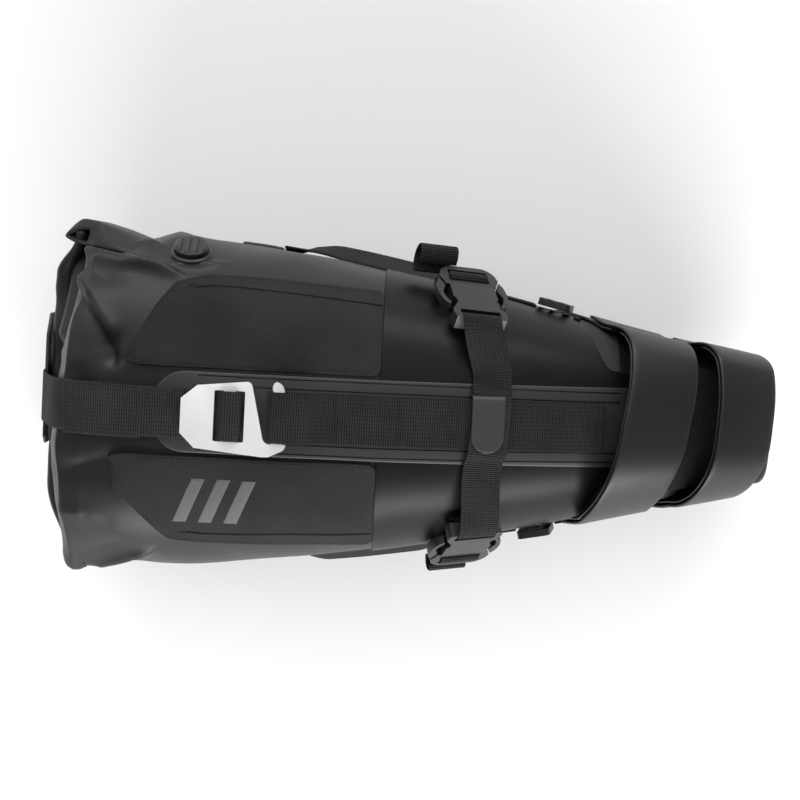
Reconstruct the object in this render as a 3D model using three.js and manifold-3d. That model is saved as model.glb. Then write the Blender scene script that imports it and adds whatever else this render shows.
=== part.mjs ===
// A roll-top saddle bag for a bicycle: a tapered, water-resistant bag that hangs behind the saddle.
// It is strapped to the seatpost with two wide hook-and-loop bands round its nose, and to the saddle
// rails with a cross strap and two side-release buckles. A webbing strap with a flat hook holds the
// roll closed.
//
// Millimetres. +X runs forward to the nose, +Y to the bag's left, +Z up. The origin lies on the plane
// that the belly rests on, on the bag's centre line, at mid length.
import * as THREE from "three";
import { mergeVertices } from "three/addons/utils/BufferGeometryUtils.js";
import Module from "manifold-3d";

const wasm = await Module();
wasm.setup();

const V = (x, y, z) => new THREE.Vector3(x, y, z);
const RAD = Math.PI / 180;

// ---------------------------------------------------------------- driving dimensions

const GAP = 0.3; // between pieces that touch
const MOUTH_X = -158; // rear edge of the body panels
const NOSE_X = 188; // front edge of the body panels
const PANEL = 2; // thickness of a body panel
const SECTION_TOP = 2.6; // superellipse exponent of the upper half of a section
const SECTION_LOW = 2.9; // and of the lower half
const BELLY_CUT = 1.05; // the lower half is this much deeper than the belly, which cuts it flat

// Stations along the bag: x, half width, top, bottom.
const STATIONS = [
  [-158, 83, 145, 7],
  [-135, 84.3, 149.5, 2.4],
  [-110, 84, 151.5, 0],
  [-75, 81, 152, 0],
  [-25, 74, 150, 0],
  [20, 66, 143, 0],
  [50, 60, 136, 2.5],
  [80, 53.5, 127, 8],
  [105, 47.5, 118, 13.5],
  [130, 42, 107, 18.5],
  [160, 36.5, 91, 23],
  [190, 31, 71, 26],
];

const TOP_SEAM = 47; // degrees round the section, from the top, to the seam between top and side
const BELLY_SEAM = 140; // and to the seam between side and belly
const SEAM_GAP = 0.35; // degrees

const WEB = 25; // width of the daisy chain and the closure strap
const NARROW_WEB = 20; // width of the cross strap and the side straps
const WEB_T = 1.5; // thickness of webbing

const ROLL = { x: -176.2, z: 74, halfX: 7.6, halfZ: 17, length: 174, sheet: 1.6, turns: 2.6 };
const COLLAR_END_X = -168;

// ---------------------------------------------------------------- materials

function paint(color, roughness, metalness = 0) {
  return new THREE.MeshStandardMaterial({ color, roughness, metalness });
}

const MATERIALS = {
  laminate: paint(0x2b2c2e, 0.5),
  coated: paint(0x333436, 0.45),
  cordura: paint(0x202122, 0.9),
  webbing: paint(0x1c1b18, 0.85),
  rubber: paint(0x303234, 0.55),
  plastic: paint(0x232425, 0.5),
  felt: paint(0x4a4c4c, 0.95),
  aluminium: paint(0xf1f1ee, 0.35, 0.6),
  stiffener: paint(0x9a9c9c, 0.6),
};

// ---------------------------------------------------------------- scene helpers

const bag = new THREE.Group();

function add(name, geometry, material, parent = bag) {
  const mesh = new THREE.Mesh(geometry, MATERIALS[material]);
  mesh.name = name;
  parent.add(mesh);
  return mesh;
}

// A group whose local x, y and z axes are the given directions.
function placed(origin, xAxis, yAxis, zAxis, parent = bag) {
  const group = new THREE.Group();
  group.matrix.makeBasis(xAxis, yAxis, zAxis).setPosition(origin);
  group.matrix.decompose(group.position, group.quaternion, group.scale);
  parent.add(group);
  return group;
}

// ---------------------------------------------------------------- solids

function bare(geometry) {
  const copy = geometry.clone();
  copy.deleteAttribute("normal");
  copy.deleteAttribute("uv");
  return mergeVertices(copy, 1e-4);
}

function solid(geometry) {
  const merged = bare(geometry);
  return new wasm.Manifold(
    new wasm.Mesh({
      numProp: 3,
      vertProperties: new Float32Array(merged.attributes.position.array),
      triVerts: new Uint32Array(merged.index.array),
    }),
  );
}

function geometryOf(manifold) {
  const mesh = manifold.getMesh();
  return new THREE.BufferGeometry()
    .setAttribute("position", new THREE.BufferAttribute(new Float32Array(mesh.vertProperties), 3))
    .setIndex(new THREE.BufferAttribute(new Uint32Array(mesh.triVerts), 1));
}

function cut(geometry, ...tools) {
  return geometryOf(tools.reduce((made, tool) => made.subtract(solid(tool)), solid(geometry)));
}

function join(geometry, ...others) {
  return geometryOf(others.reduce((made, other) => made.add(solid(other)), solid(geometry)));
}

function facingOut(positions, index) {
  const p = (i) => V(positions[3 * i], positions[3 * i + 1], positions[3 * i + 2]);
  let volume = 0;
  for (let i = 0; i < index.length; i += 3)
    volume += p(index[i]).dot(p(index[i + 1]).cross(p(index[i + 2])));
  if (volume < 0) index.reverse();
  return new THREE.BufferGeometry()
    .setAttribute("position", new THREE.BufferAttribute(new Float32Array(positions), 3))
    .setIndex(index);
}

// A sheet of material with thickness, from a surface(u, v, offset) between two offsets. Where
// closed is true the sheet joins itself in v, as a tube does.
function sheet(surface, [u0, u1, nu], [v0, v1, nv], [low, high], closed = false) {
  const positions = [];
  const index = [];
  const columns = closed ? nv : nv + 1;
  const at = (i, j, side) => side * (nu + 1) * columns + i * columns + (j % columns);
  for (const offset of [low, high])
    for (let i = 0; i <= nu; i++)
      for (let j = 0; j < columns; j++)
        positions.push(...surface(u0 + ((u1 - u0) * i) / nu, v0 + ((v1 - v0) * j) / nv, offset).toArray());
  const quad = (a, b, c, d) => index.push(a, b, c, a, c, d);
  for (let i = 0; i < nu; i++)
    for (let j = 0; j < nv; j++) {
      quad(at(i, j, 1), at(i + 1, j, 1), at(i + 1, j + 1, 1), at(i, j + 1, 1));
      quad(at(i, j, 0), at(i, j + 1, 0), at(i + 1, j + 1, 0), at(i + 1, j, 0));
    }
  for (let j = 0; j < nv; j++) {
    quad(at(0, j, 0), at(0, j, 1), at(0, j + 1, 1), at(0, j + 1, 0));
    quad(at(nu, j, 0), at(nu, j + 1, 0), at(nu, j + 1, 1), at(nu, j, 1));
  }
  if (!closed)
    for (let i = 0; i < nu; i++) {
      quad(at(i, 0, 0), at(i + 1, 0, 0), at(i + 1, 0, 1), at(i, 0, 1));
      quad(at(i, nv, 0), at(i, nv, 1), at(i + 1, nv, 1), at(i + 1, nv, 0));
    }
  return facingOut(positions, index);
}

// A closed outline in the plane, extruded by depth and centred on z = 0.
function plate(shape, depth, curveSegments = 6) {
  return new THREE.ExtrudeGeometry(shape, { depth, bevelEnabled: false, curveSegments }).translate(
    0,
    0,
    -depth / 2,
  );
}

function box(x0, x1, y0, y1, z0, z1) {
  const block = new THREE.BoxGeometry(x1 - x0, y1 - y0, z1 - z0);
  return block.translate((x0 + x1) / 2, (y0 + y1) / 2, (z0 + z1) / 2);
}

function roundedRect(x0, x1, y0, y1, r, Kind = THREE.Shape) {
  const s = new Kind();
  s.moveTo(x0 + r, y0);
  s.lineTo(x1 - r, y0);
  s.absarc(x1 - r, y0 + r, r, -Math.PI / 2, 0, false);
  s.lineTo(x1, y1 - r);
  s.absarc(x1 - r, y1 - r, r, 0, Math.PI / 2, false);
  s.lineTo(x0 + r, y1);
  s.absarc(x0 + r, y1 - r, r, Math.PI / 2, Math.PI, false);
  s.lineTo(x0, y0 + r);
  s.absarc(x0 + r, y0 + r, r, Math.PI, 1.5 * Math.PI, false);
  return s;
}

// A ribbon of webbing whose centre line is a curve in the XZ plane, as wide as width in Y.
function ribbon(points, width, thickness = WEB_T, steps = 40) {
  const curve = new THREE.CatmullRomCurve3(points.map(([x, z]) => V(x, 0, z)), false, "centripetal");
  const line = curve.getPoints(steps);
  const side = (sign) =>
    line.map((p, i) => {
      const before = line[Math.max(i - 1, 0)];
      const after = line[Math.min(i + 1, steps)];
      const t = after.clone().sub(before).normalize();
      return new THREE.Vector2(p.x - (sign * t.z * thickness) / 2, p.z + (sign * t.x * thickness) / 2);
    });
  const outline = new THREE.Shape([...side(1), ...side(-1).reverse()]);
  return plate(outline, width).rotateX(Math.PI / 2);
}

// ---------------------------------------------------------------- the bag's surface

// Monotone cubic through one column of the stations.
function profile(column) {
  const xs = STATIONS.map((s) => s[0]);
  const ys = STATIONS.map((s) => s[column]);
  const slopes = xs.slice(1).map((x, i) => (ys[i + 1] - ys[i]) / (x - xs[i]));
  const tangents = xs.map((_, i) => {
    if (i === 0) return slopes[0];
    if (i === xs.length - 1) return slopes[i - 1];
    if (slopes[i - 1] * slopes[i] <= 0) return 0;
    return (2 * slopes[i - 1] * slopes[i]) / (slopes[i - 1] + slopes[i]);
  });
  return (x) => {
    let i = xs.findIndex((station) => station > x) - 1;
    if (i === -2) i = xs.length - 2;
    i = Math.max(i, 0);
    const h = xs[i + 1] - xs[i];
    const t = (x - xs[i]) / h;
    const [t2, t3] = [t * t, t * t * t];
    return (
      (2 * t3 - 3 * t2 + 1) * ys[i] +
      (t3 - 2 * t2 + t) * h * tangents[i] +
      (3 * t2 - 2 * t3) * ys[i + 1] +
      (t3 - t2) * h * tangents[i + 1]
    );
  };
}

const halfWidth = profile(1);
const top = profile(2);
const bottom = profile(3);

const power = (value, exponent) => Math.sign(value) * Math.abs(value) ** (2 / exponent);

// A point of the section at x: angle 0 is the top, 90 degrees the bag's left, 180 the belly.
function skin(x, degrees) {
  const [c, s] = [Math.cos(degrees * RAD), Math.sin(degrees * RAD)];
  const middle = (top(x) + bottom(x)) / 2;
  const depth = middle - bottom(x);
  const n = c >= 0 ? SECTION_TOP : SECTION_LOW;
  const high = middle + depth * power(c, n);
  const low = Math.max(bottom(x), middle + BELLY_CUT * depth * power(c, n));
  return V(x, halfWidth(x) * power(s, n), c >= 0 ? high : low);
}

function skinNormal(x, degrees) {
  const step = 0.5;
  const along = skin(x + step, degrees).sub(skin(x - step, degrees));
  const round = skin(x, degrees + step).sub(skin(x, degrees - step));
  return round.cross(along).normalize().negate();
}

function onSkin(x, degrees, offset) {
  return skin(x, degrees).addScaledVector(skinNormal(x, degrees), offset);
}

// The angle at which the upper half of the section at x is y from the centre line.
function angleAt(x, y) {
  const share = Math.min(1, Math.abs(y) / halfWidth(x));
  return (Math.sign(y) * Math.asin(share ** (SECTION_TOP / 2))) / RAD;
}

const onTop = (x, y, offset) => onSkin(x, angleAt(x, y), offset);

// ---------------------------------------------------------------- body panels

function panel(from, to, across, along = 14) {
  return sheet(onSkin, [MOUTH_X, NOSE_X, along], [from + SEAM_GAP, to - SEAM_GAP, across], [-PANEL, 0]);
}

const VALVE = { x: -109, angle: 60, hole: 5.5, barrel: 5.2, flange: 10.5, cap: 9 };
const valvePoint = skin(VALVE.x, VALVE.angle);
const valveAxis = skinNormal(VALVE.x, VALVE.angle);

function buildPanels() {
  const alongValve = new THREE.Quaternion().setFromUnitVectors(V(0, 1, 0), valveAxis);
  const hole = new THREE.CylinderGeometry(VALVE.hole, VALVE.hole, 20, 16)
    .applyQuaternion(alongValve)
    .translate(...valvePoint.toArray());
  add("top_panel", panel(-TOP_SEAM, TOP_SEAM, 10, 18), "laminate");
  add("left_side_panel", cut(panel(TOP_SEAM, BELLY_SEAM, 8), hole), "laminate");
  add("right_side_panel", panel(-BELLY_SEAM, -TOP_SEAM, 8), "laminate");
  add("belly_panel", panel(BELLY_SEAM, 360 - BELLY_SEAM, 8), "laminate");

  const end = new THREE.Shape();
  for (let i = 0; i < 28; i++) {
    const p = onSkin(NOSE_X, (360 * i) / 28, -0.2);
    if (i === 0) end.moveTo(p.y, p.z);
    else end.lineTo(p.y, p.z);
  }
  const cap = new THREE.ExtrudeGeometry(end, {
    depth: 2,
    bevelEnabled: true,
    bevelThickness: 1.5,
    bevelSize: 1.5,
    bevelOffset: -1.5,
    bevelSegments: 1,
  });
  cap.rotateX(Math.PI / 2).rotateZ(Math.PI / 2).translate(NOSE_X + GAP + 1.5, 0, 0);
  add("nose_panel", cap, "coated");
}

// ---------------------------------------------------------------- stiffeners inside

function buildStiffeners() {
  const under = [-PANEL - 2.3, -PANEL - 0.8];
  add("belly_stiffener", sheet(onSkin, [-140, 150, 10], [152, 208, 6], under), "stiffener");
  add("left_nose_stiffener", sheet(onSkin, [40, 178, 8], [52, 128, 6], under), "stiffener");
  add("right_nose_stiffener", sheet(onSkin, [40, 178, 8], [-128, -52, 6], under), "stiffener");
  add("top_nose_stiffener", sheet(onSkin, [70, 178, 8], [-40, 40, 6], under), "stiffener");
}

// ---------------------------------------------------------------- roll-top closure

// The collar closes the mouth like the end of a pillow: u runs from the mouth (0) to the roll (1).
function collarSkin(u, degrees, offset) {
  const turn = (u * Math.PI) / 2;
  const mouth = onSkin(MOUTH_X, degrees, offset);
  const squeeze = Math.cos(turn);
  const depth = MOUTH_X - GAP - COLLAR_END_X;
  const slot = 6 * Math.sign(mouth.z - ROLL.z) * Math.min(1, Math.abs(mouth.z - ROLL.z) / 20);
  return V(
    MOUTH_X - GAP - depth * Math.sin(turn),
    mouth.y * (1 - 0.03 * u),
    ROLL.z + (mouth.z - ROLL.z) * squeeze + slot * (1 - squeeze),
  );
}

// The rolled fabric seen from its end: a flattened spiral.
function rollOutline() {
  const steps = Math.round(ROLL.turns * 16);
  const pitch = (ROLL.halfX - ROLL.sheet) / (ROLL.turns + 0.35);
  const edge = (inset) =>
    Array.from({ length: steps + 1 }, (_, i) => {
      const turn = (ROLL.turns * i) / steps;
      const r = ROLL.halfX - pitch * turn - inset;
      const flat = ROLL.halfZ - ROLL.halfX;
      const [c, s] = [Math.cos(turn * 2 * Math.PI), Math.sin(turn * 2 * Math.PI)];
      return new THREE.Vector2(-r * c, r * s + flat * Math.sign(s) * Math.min(1, Math.abs(s) * 1.6));
    });
  return new THREE.Shape([...edge(0), ...edge(ROLL.sheet).reverse()]);
}

function buildRoll() {
  add("roll_collar", sheet(collarSkin, [0, 0.93, 5], [0, 360, 32], [-1.2, -0.1], true), "coated");
  const along = plate(rollOutline(), ROLL.length).rotateX(Math.PI / 2).translate(ROLL.x, 0, ROLL.z);
  add("roll_top", along, "coated");
  add("roll_stiffener", box(ROLL.x - 0.6, ROLL.x + 0.6, -80, 80, ROLL.z - 8, ROLL.z + 8), "stiffener");

  // A stiff patch on the roll's back carries the strap and a rear light.
  const patch = new THREE.Shape();
  patch.moveTo(-26, -10);
  patch.lineTo(-22, -15);
  patch.lineTo(30, -15);
  patch.lineTo(41, -6);
  patch.lineTo(41, 6);
  patch.lineTo(30, 15);
  patch.lineTo(-22, 15);
  patch.lineTo(-26, 10);
  const lightPatch = plate(patch, 1.4).rotateX(Math.PI / 2).rotateZ(Math.PI / 2);
  add("rear_light_patch", lightPatch.translate(ROLL.x - ROLL.halfX - GAP - 0.7, 0, ROLL.z), "rubber");
}

// ---------------------------------------------------------------- closure strap and hook

const HOOK = { t: 3, z: top(-85) + 5.6 };
const BACK_X = ROLL.x - ROLL.halfX - 2.8;

function buildClosureStrap() {
  // Round the back of the roll, from under the belly up to the bag's top edge.
  const behind = [
    [-159, 148.4],
    [-168, 144],
    [-177, 127],
    [BACK_X + 0.8, 100],
    [BACK_X, 74],
    [BACK_X - 0.2, 50],
    [-179, 22],
    [-170, 9],
    [-160.5, 4.6],
  ];
  add("closure_strap_rear", ribbon(behind, WEB), "webbing");
  const under = (x, y, offset) => V(x, y, bottom(x) - 0.4 + offset);
  const root = sheet(under, [-159.5, -139, 4], [-WEB / 2, WEB / 2, 2], [-WEB_T, 0]);
  add("closure_strap_root", root, "webbing");
}

// Outline of the flat hook: a frame for the strap, and a finger that the daisy chain's loop holds.
function hookOutline() {
  const s = new THREE.Shape();
  s.moveTo(-107.4, 7.4);
  s.lineTo(-99.8, 13.9);
  s.lineTo(-76, 16.6);
  s.quadraticCurveTo(-73.6, 16.8, -73, 14.2);
  s.lineTo(-67.2, -10.6);
  s.quadraticCurveTo(-66.2, -13, -64, -13);
  s.lineTo(-63, -13);
  s.lineTo(-63, 13);
  s.lineTo(-63.3, 13.8);
  s.quadraticCurveTo(-63.4, 17, -61.2, 17.2);
  s.quadraticCurveTo(-57.4, 16.4, -57.2, 11);
  s.lineTo(-57.2, -13);
  s.lineTo(-56, -13);
  s.quadraticCurveTo(-56, -15.4, -58.2, -16.4);
  s.lineTo(-64.2, -19.3);
  s.lineTo(-67.6, -19.4);
  s.lineTo(-100.2, -16.6);
  s.lineTo(-107.4, -9.6);
  for (const [x0, x1] of [
    [-91.3, -86.6],
    [-81.2, -76.4],
  ])
    s.holes.push(roundedRect(x0, x1, -12.9, 12, 0.9, THREE.Path));
  return s;
}

function buildHook() {
  const z = HOOK.z;
  add("closure_hook", plate(hookOutline(), HOOK.t, 4).translate(0, 0, z + HOOK.t / 2), "aluminium");
  // Under the hook's end, up through its window, over its bar and back under itself.
  const through = [
    [-158.5, 150],
    [-140, z - 2.2],
    [-118, z - 1.1],
    [-98, z - 1.3],
    [-92, z - 1.4],
    [-89.4, z + 0.9],
    [-87.2, z + 3.9],
    [-84, z + 4.6],
    [-80.8, z + 4.1],
    [-78.6, z + 1.5],
    [-79.6, z - 1.6],
    [-86, z - 3],
    [-110, z - 3],
    [-136, z - 4.1],
  ];
  const strap = ribbon(through, WEB - 0.6, 1.2, 70).translate(0, -0.45, 0);
  add("closure_strap_front", strap, "webbing");
}

// ---------------------------------------------------------------- daisy chain on top

const TACKS = [-34, -3, 28, 66, 100];

function buildTop() {
  const strip = (x0, x1, y0, y1, low, high, nx, ny) =>
    sheet((x, y, offset) => onTop(x, y, offset), [x0, x1, nx], [y0, y1, ny], [low, high]);
  add("centre_strip", strip(-122, 108, -19, 19, 0.6, 1.4, 14, 4), "laminate");

  // The front end of the chain is sewn flat; its rear end is a loop round the hook's finger.
  const height = (x) => top(x) + 1.8 + WEB_T / 2;
  const finger = HOOK.z + HOOK.t;
  const chain = [[101, height(101)]];
  for (let i = TACKS.length - 2; i >= 0; i--) {
    const middle = (TACKS[i] + TACKS[i + 1]) / 2;
    chain.push([middle, height(middle) + 0.5], [TACKS[i] + 1, height(TACKS[i])]);
  }
  chain.push(
    [-40, height(-40) + 0.8],
    [-47, finger + 0.2],
    [-53, finger + 1.5],
    [-60, finger + 1.6],
    [-63.4, finger + 0.9],
    [-64.9, HOOK.z + 1.4],
    [-63.8, HOOK.z - 1],
    [-61, HOOK.z - 1.9],
    [-54, HOOK.z - 2.4],
    [-45, HOOK.z - 2.6],
  );
  add("daisy_chain", ribbon(chain, WEB, 1.3, 90), "webbing");
}

// Woven patches sit beside the centre strip; their outer rear corners are cut off.
function buildPatches() {
  for (const [name, side] of [
    ["left_patch", 1],
    ["right_patch", -1],
  ]) {
    const surface = (x, v, offset) => {
      const inner = 21.5;
      const outer = Math.min(66, 24 + (x + 146) * 1.1);
      return onTop(x, side * (inner + (outer - inner) * v), offset);
    };
    add(name, sheet(surface, [-140, -12, 14], [0, 1, 5], [0.9, 1.9]), "cordura");
  }
  // Ribbed grip patches flank the nose in front of the cross strap.
  for (const [name, side] of [
    ["left_nose_patch", 1],
    ["right_nose_patch", -1],
  ]) {
    const surface = (x, v, offset) => onSkin(x, side * (34 + 30 * v * Math.min(1, (x - 74) / 14)), offset);
    add(name, sheet(surface, [75, 100, 5], [0, 1, 4], [0.6, 1.4]), "cordura");
  }
}

// ---------------------------------------------------------------- air valve

function buildValve() {
  const across = V(1, 0, 0).cross(valveAxis).normalize();
  const forward = valveAxis.clone().cross(across).negate();
  const frame = placed(valvePoint, forward, valveAxis, forward.clone().cross(valveAxis));
  const turned = (points) => new THREE.LatheGeometry(points.map(([r, y]) => new THREE.Vector2(r, y)), 24);
  const body = turned([
    [0, -6.5],
    [VALVE.barrel, -6.5],
    [VALVE.barrel, 1.2],
    [VALVE.flange - 1, 1.2],
    [VALVE.flange, 2],
    [VALVE.flange - 1.4, 3],
    [0, 3],
  ]);
  add("valve_body", body, "plastic", frame);
  const nut = turned([
    [VALVE.hole, -5.6],
    [9, -5.6],
    [9, -4],
    [VALVE.hole, -4],
    [VALVE.hole, -5.6],
  ]);
  add("valve_nut", nut, "plastic", frame);
  const dome = turned([
    [0, 3.3],
    [VALVE.cap, 3.3],
    [VALVE.cap, 5.6],
    [VALVE.cap - 1.6, 7],
    [0, 7],
  ]);
  const grooves = [-4, 0, 4].map((x) => box(x - 0.8, x + 0.8, 5.8, 8, -10, 10));
  add("valve_cap", cut(dome, ...grooves), "plastic", frame);
}

// ---------------------------------------------------------------- side-release buckles

// The folded tails beside the buckles, as (outward, off the bag), and how far toward the rear they lie.
const TAIL_SHIFT = { left: 14, right: 3.5 };
const TAIL = {
  left: [
    [47, -6.4],
    [51.5, -3],
    [53, 3],
    [50.4, 8.6],
    [46, 7.4],
    [44.4, 1.5],
  ],
  right: [
    [45.4, -5.2],
    [47.6, -3],
    [48.4, 0.2],
    [47.2, 3],
    [45, 2.8],
    [44.2, 0.6],
  ],
};

// Local frame: x from the cross strap's bar to the male half's end, y across, z outward.
const BUCKLE = {
  mouth: 26,
  slot: 10.6,
  thickness: 7.6,
  // Place along the bag, angle round the section, the section angle whose normal it faces, its
  // height off the skin, how deep its web dips, and the angle where that web meets the flank.
  left: { x: 34, angle: 38.5, tilt: 52, lift: 8.2, dip: 11, flank: 80 },
  right: { x: 37, angle: 42, tilt: 57, lift: 9, dip: 8, flank: 82 },
};

function femaleHalf() {
  const s = new THREE.Shape();
  s.moveTo(0, -13);
  s.quadraticCurveTo(2, -14.4, 6, -14);
  s.lineTo(10, -11.5);
  s.absarc(13, -14.6, 4.3, 135 * RAD, 40 * RAD, true);
  s.lineTo(BUCKLE.mouth, -11.8);
  s.lineTo(BUCKLE.mouth, 11.8);
  s.lineTo(16.3, 11.8);
  s.absarc(13, 14.6, 4.3, -40 * RAD, -135 * RAD, true);
  s.lineTo(6, 14);
  s.quadraticCurveTo(2, 14.4, 0, 13);
  s.holes.push(roundedRect(2.8, 6.2, -BUCKLE.slot, BUCKLE.slot, 0.8, THREE.Path));
  const mouth = box(9, BUCKLE.mouth + 1, -9.8, 9.8, -2.2, 2.2);
  return cut(plate(s, BUCKLE.thickness, 3), mouth);
}

function maleHalf() {
  const s = new THREE.Shape();
  s.moveTo(27, -13.2);
  s.lineTo(33, -15.6);
  s.lineTo(37, -14.6);
  s.quadraticCurveTo(41.5, -12, 42, -8);
  s.lineTo(42, 8);
  s.quadraticCurveTo(41.5, 12, 37, 14.6);
  s.lineTo(33, 15.6);
  s.lineTo(27, 13.2);
  for (const [x0, x1] of [
    [30, 33],
    [35.6, 38.8],
  ])
    s.holes.push(roundedRect(x0, x1, -BUCKLE.slot, BUCKLE.slot, 0.8, THREE.Path));
  const tongue = box(12, 28, -4.5, 4.5, -1.5, 1.5);
  return join(plate(s, 6, 3), tongue);
}

// One squeeze arm: it leaves the ladder end, bows outward and turns in to the waist.
function squeezeArm(side) {
  const s = new THREE.Shape();
  s.moveTo(26.5, side * 13.4);
  s.lineTo(32.6, side * 16);
  s.quadraticCurveTo(28, side * 19.4, 20, side * 18.4);
  s.quadraticCurveTo(13.5, side * 17.4, 11, side * 13.6);
  s.lineTo(13.4, side * 12.9);
  s.quadraticCurveTo(16, side * 15.6, 20.5, side * 15.8);
  return plate(s, 5.2, 3);
}

// Where each buckle sits: a point on the skin, and its axis leaning back as it runs outward.
function buckleFrame(side) {
  const at = side > 0 ? BUCKLE.left : BUCKLE.right;
  const origin = onSkin(at.x, side * at.angle, at.lift);
  const normal = skinNormal(at.x, side * at.tilt);
  const down = V(-1, 0, 0).cross(normal).normalize().multiplyScalar(side);
  if (down.z > 0) down.negate();
  const lean = 13 * RAD;
  const along = down.multiplyScalar(Math.cos(lean)).addScaledVector(V(-1, 0, 0), Math.sin(lean));
  along.addScaledVector(normal, -along.dot(normal)).normalize();
  return { origin, along, normal, across: normal.clone().cross(along) };
}

function buildBuckles() {
  for (const [name, side] of [
    ["left", 1],
    ["right", -1],
  ]) {
    const { origin, along, across, normal } = buckleFrame(side);
    const { dip, flank } = BUCKLE[name];
    const frame = placed(origin, along, across, normal);
    add(name + "_buckle_female", femaleHalf(), "plastic", frame);
    add(name + "_buckle_male", maleHalf(), "plastic", frame);
    add(name + "_arm_front", squeezeArm(-side), "plastic", frame);
    add(name + "_arm_rear", squeezeArm(side), "plastic", frame);

    // The adjusting web comes up from the bag's side, over the ladder's bar, and ends in a folded
    // tail held by an elastic keeper.
    const web = [
      [49.4, -dip],
      [48.4, -5 - 0.4 * dip],
      [45.6, -8],
      [41.6, -4.8],
      [37.2, -3.9],
      [36.9, 0],
      [36.2, 3.6],
      [34.2, 4.1],
      [32, 3.6],
      [31.5, 0],
      [31, -3.9],
      [27, -5.2],
      [21, -5.4],
    ];
    add(name + "_strap_loop", ribbon(web, NARROW_WEB, 1.1, 40), "webbing", frame);
    const tailWeb = ribbon(TAIL[name], NARROW_WEB, 1.3, 18).translate(0, side * TAIL_SHIFT[name], 0);
    add(name + "_strap_tail", tailWeb, "webbing", frame);

    // The web that the loop belongs to is sewn to the bag's flank.
    const end = origin.clone().addScaledVector(along, 49.5).addScaledVector(normal, -dip);
    const lean = along.x / Math.hypot(along.y, along.z);
    const down = (x, degrees, offset) => {
      const p = onSkin(end.x, side * degrees, offset);
      const run = Math.hypot(p.y - end.y, p.z - end.z);
      return onSkin(end.x + x + lean * run, side * degrees, offset);
    };
    const web20 = [-NARROW_WEB / 2, NARROW_WEB / 2, 3];
    add(name + "_anchor_web", sheet(down, web20, [flank, flank + 18, 6], [0.5, 1.2]), "webbing");
  }
}

// ---------------------------------------------------------------- cross strap and its keeper

const CROSS_X = 42;
const topSlope = (top(CROSS_X) - top(CROSS_X - 10)) / 10;
const downTop = V(1, 0, topSlope).normalize();

function buildCrossStrap() {
  const ends = [1, -1].map((side) => {
    const { origin, along, across } = buckleFrame(side);
    return { point: origin.addScaledVector(along, -1.2), across: across.multiplyScalar(side) };
  });
  // The strap's centre line, from the left buckle over the daisy chain to the right one.
  const over = [24, 17, 14.4, 0, -14.4, -17, -24].map((y) => {
    const lift = Math.abs(y) < 16 ? 5.6 : 3.4;
    return onTop(CROSS_X + (y > 0 ? 0.02 : 0.1) * y, y, Math.abs(y) > 20 ? 2.6 : lift);
  });
  const line = new THREE.CatmullRomCurve3([ends[0].point, ...over, ends[1].point], false, "centripetal");
  const surface = (u, v, offset) => {
    const p = line.getPoint(u);
    const t = line.getTangent(u);
    const blend = Math.min(1, Math.abs(u - 0.5) * 2) ** 3;
    const across = downTop
      .clone()
      .multiplyScalar(blend - 1)
      .addScaledVector(ends[u < 0.5 ? 0 : 1].across, blend)
      .normalize();
    const normal = t.cross(across).normalize();
    if (normal.z < 0) normal.negate();
    return p.addScaledVector(across, v).addScaledVector(normal, offset);
  };
  const half = NARROW_WEB / 2;
  add("cross_strap", sheet(surface, [0, 1, 34], [-half, half, 2], [-0.6, 0.6]), "webbing");

  // The tab lies over the crossing; it peels up about its left edge, which is sewn down.
  const left = V(0, 1, 0);
  const frame = placed(V(CROSS_X, 0, top(CROSS_X) + 7.2), downTop, left, downTop.clone().cross(left));
  const tab = new THREE.Shape();
  tab.moveTo(-8.5, 13.6);
  tab.lineTo(8.5, 13.6);
  tab.lineTo(8.5, -5);
  tab.absarc(0, -5, 8.5, 0, Math.PI, true);
  add("keeper_tab", plate(tab, 1.1), "rubber", frame);
  const root = [
    [-18.2, -2.4],
    [-16.8, -1],
    [-15.4, -0.2],
    [-14, 0],
  ];
  add("keeper_root", ribbon(root, 17, 1, 8).rotateZ(-Math.PI / 2), "rubber", frame);
}

// ---------------------------------------------------------------- side straps

function buildSideStraps() {
  for (const [name, side, slack, lockX] of [
    ["left", 1, 5, 68],
    ["right", -1, 6, 64],
  ]) {
    // The centre line of the strap along the bag's flank; it bows out where it is slack.
    const surface = (x, v, offset) => {
      const sag = x < 22 ? slack * Math.sin((Math.PI * (x + 66)) / 88) ** 2 : 0;
      const z = 52 + 0.16 * (x + 66) + v;
      const lean = angleAt(x, 0);
      const y = halfWidth(x) * Math.cos(lean) + 1.6 + sag + offset;
      return V(x, side * y, z);
    };
    const half = NARROW_WEB / 2;
    add(name + "_side_strap", sheet(surface, [-66, lockX - 2, 22], [-half, half, 2], [0, WEB_T]), "webbing");
    const anchor = sheet(onSkin, [-88, -66.6, 3], [side * 96, side * 113, 3], [0.4, 1.8]);
    add(name + "_side_anchor", anchor, "rubber");

    // The ladder lock at the nose, with the short web that ties it under the rear band.
    const a = surface(lockX, 0, 1.2);
    const b = surface(lockX + 20, 0, 1.2);
    const along = b.clone().sub(a).normalize();
    const normal = along.clone().cross(V(0, 0, side)).normalize();
    if (normal.y * side < 0) normal.negate();
    const frame = placed(a.addScaledVector(normal, 1.4), along, normal.clone().cross(along), normal);
    const lock = roundedRect(0, 17, -13, 13, 3);
    for (const [s0, s1] of [
      [3, 6],
      [9, 13],
    ])
      lock.holes.push(roundedRect(s0, s1, -10.5, 10.5, 0.8, THREE.Path));
    add(name + "_ladder_lock", plate(lock, 3.6, 4), "plastic", frame);
    const behind = [lockX + 17.8, lockX + 20.9, 2];
    add(name + "_nose_web", sheet(surface, behind, [-half, half, 1], [-0.6, 0.7]), "webbing");
  }
}

// ---------------------------------------------------------------- seatpost bands

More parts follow.
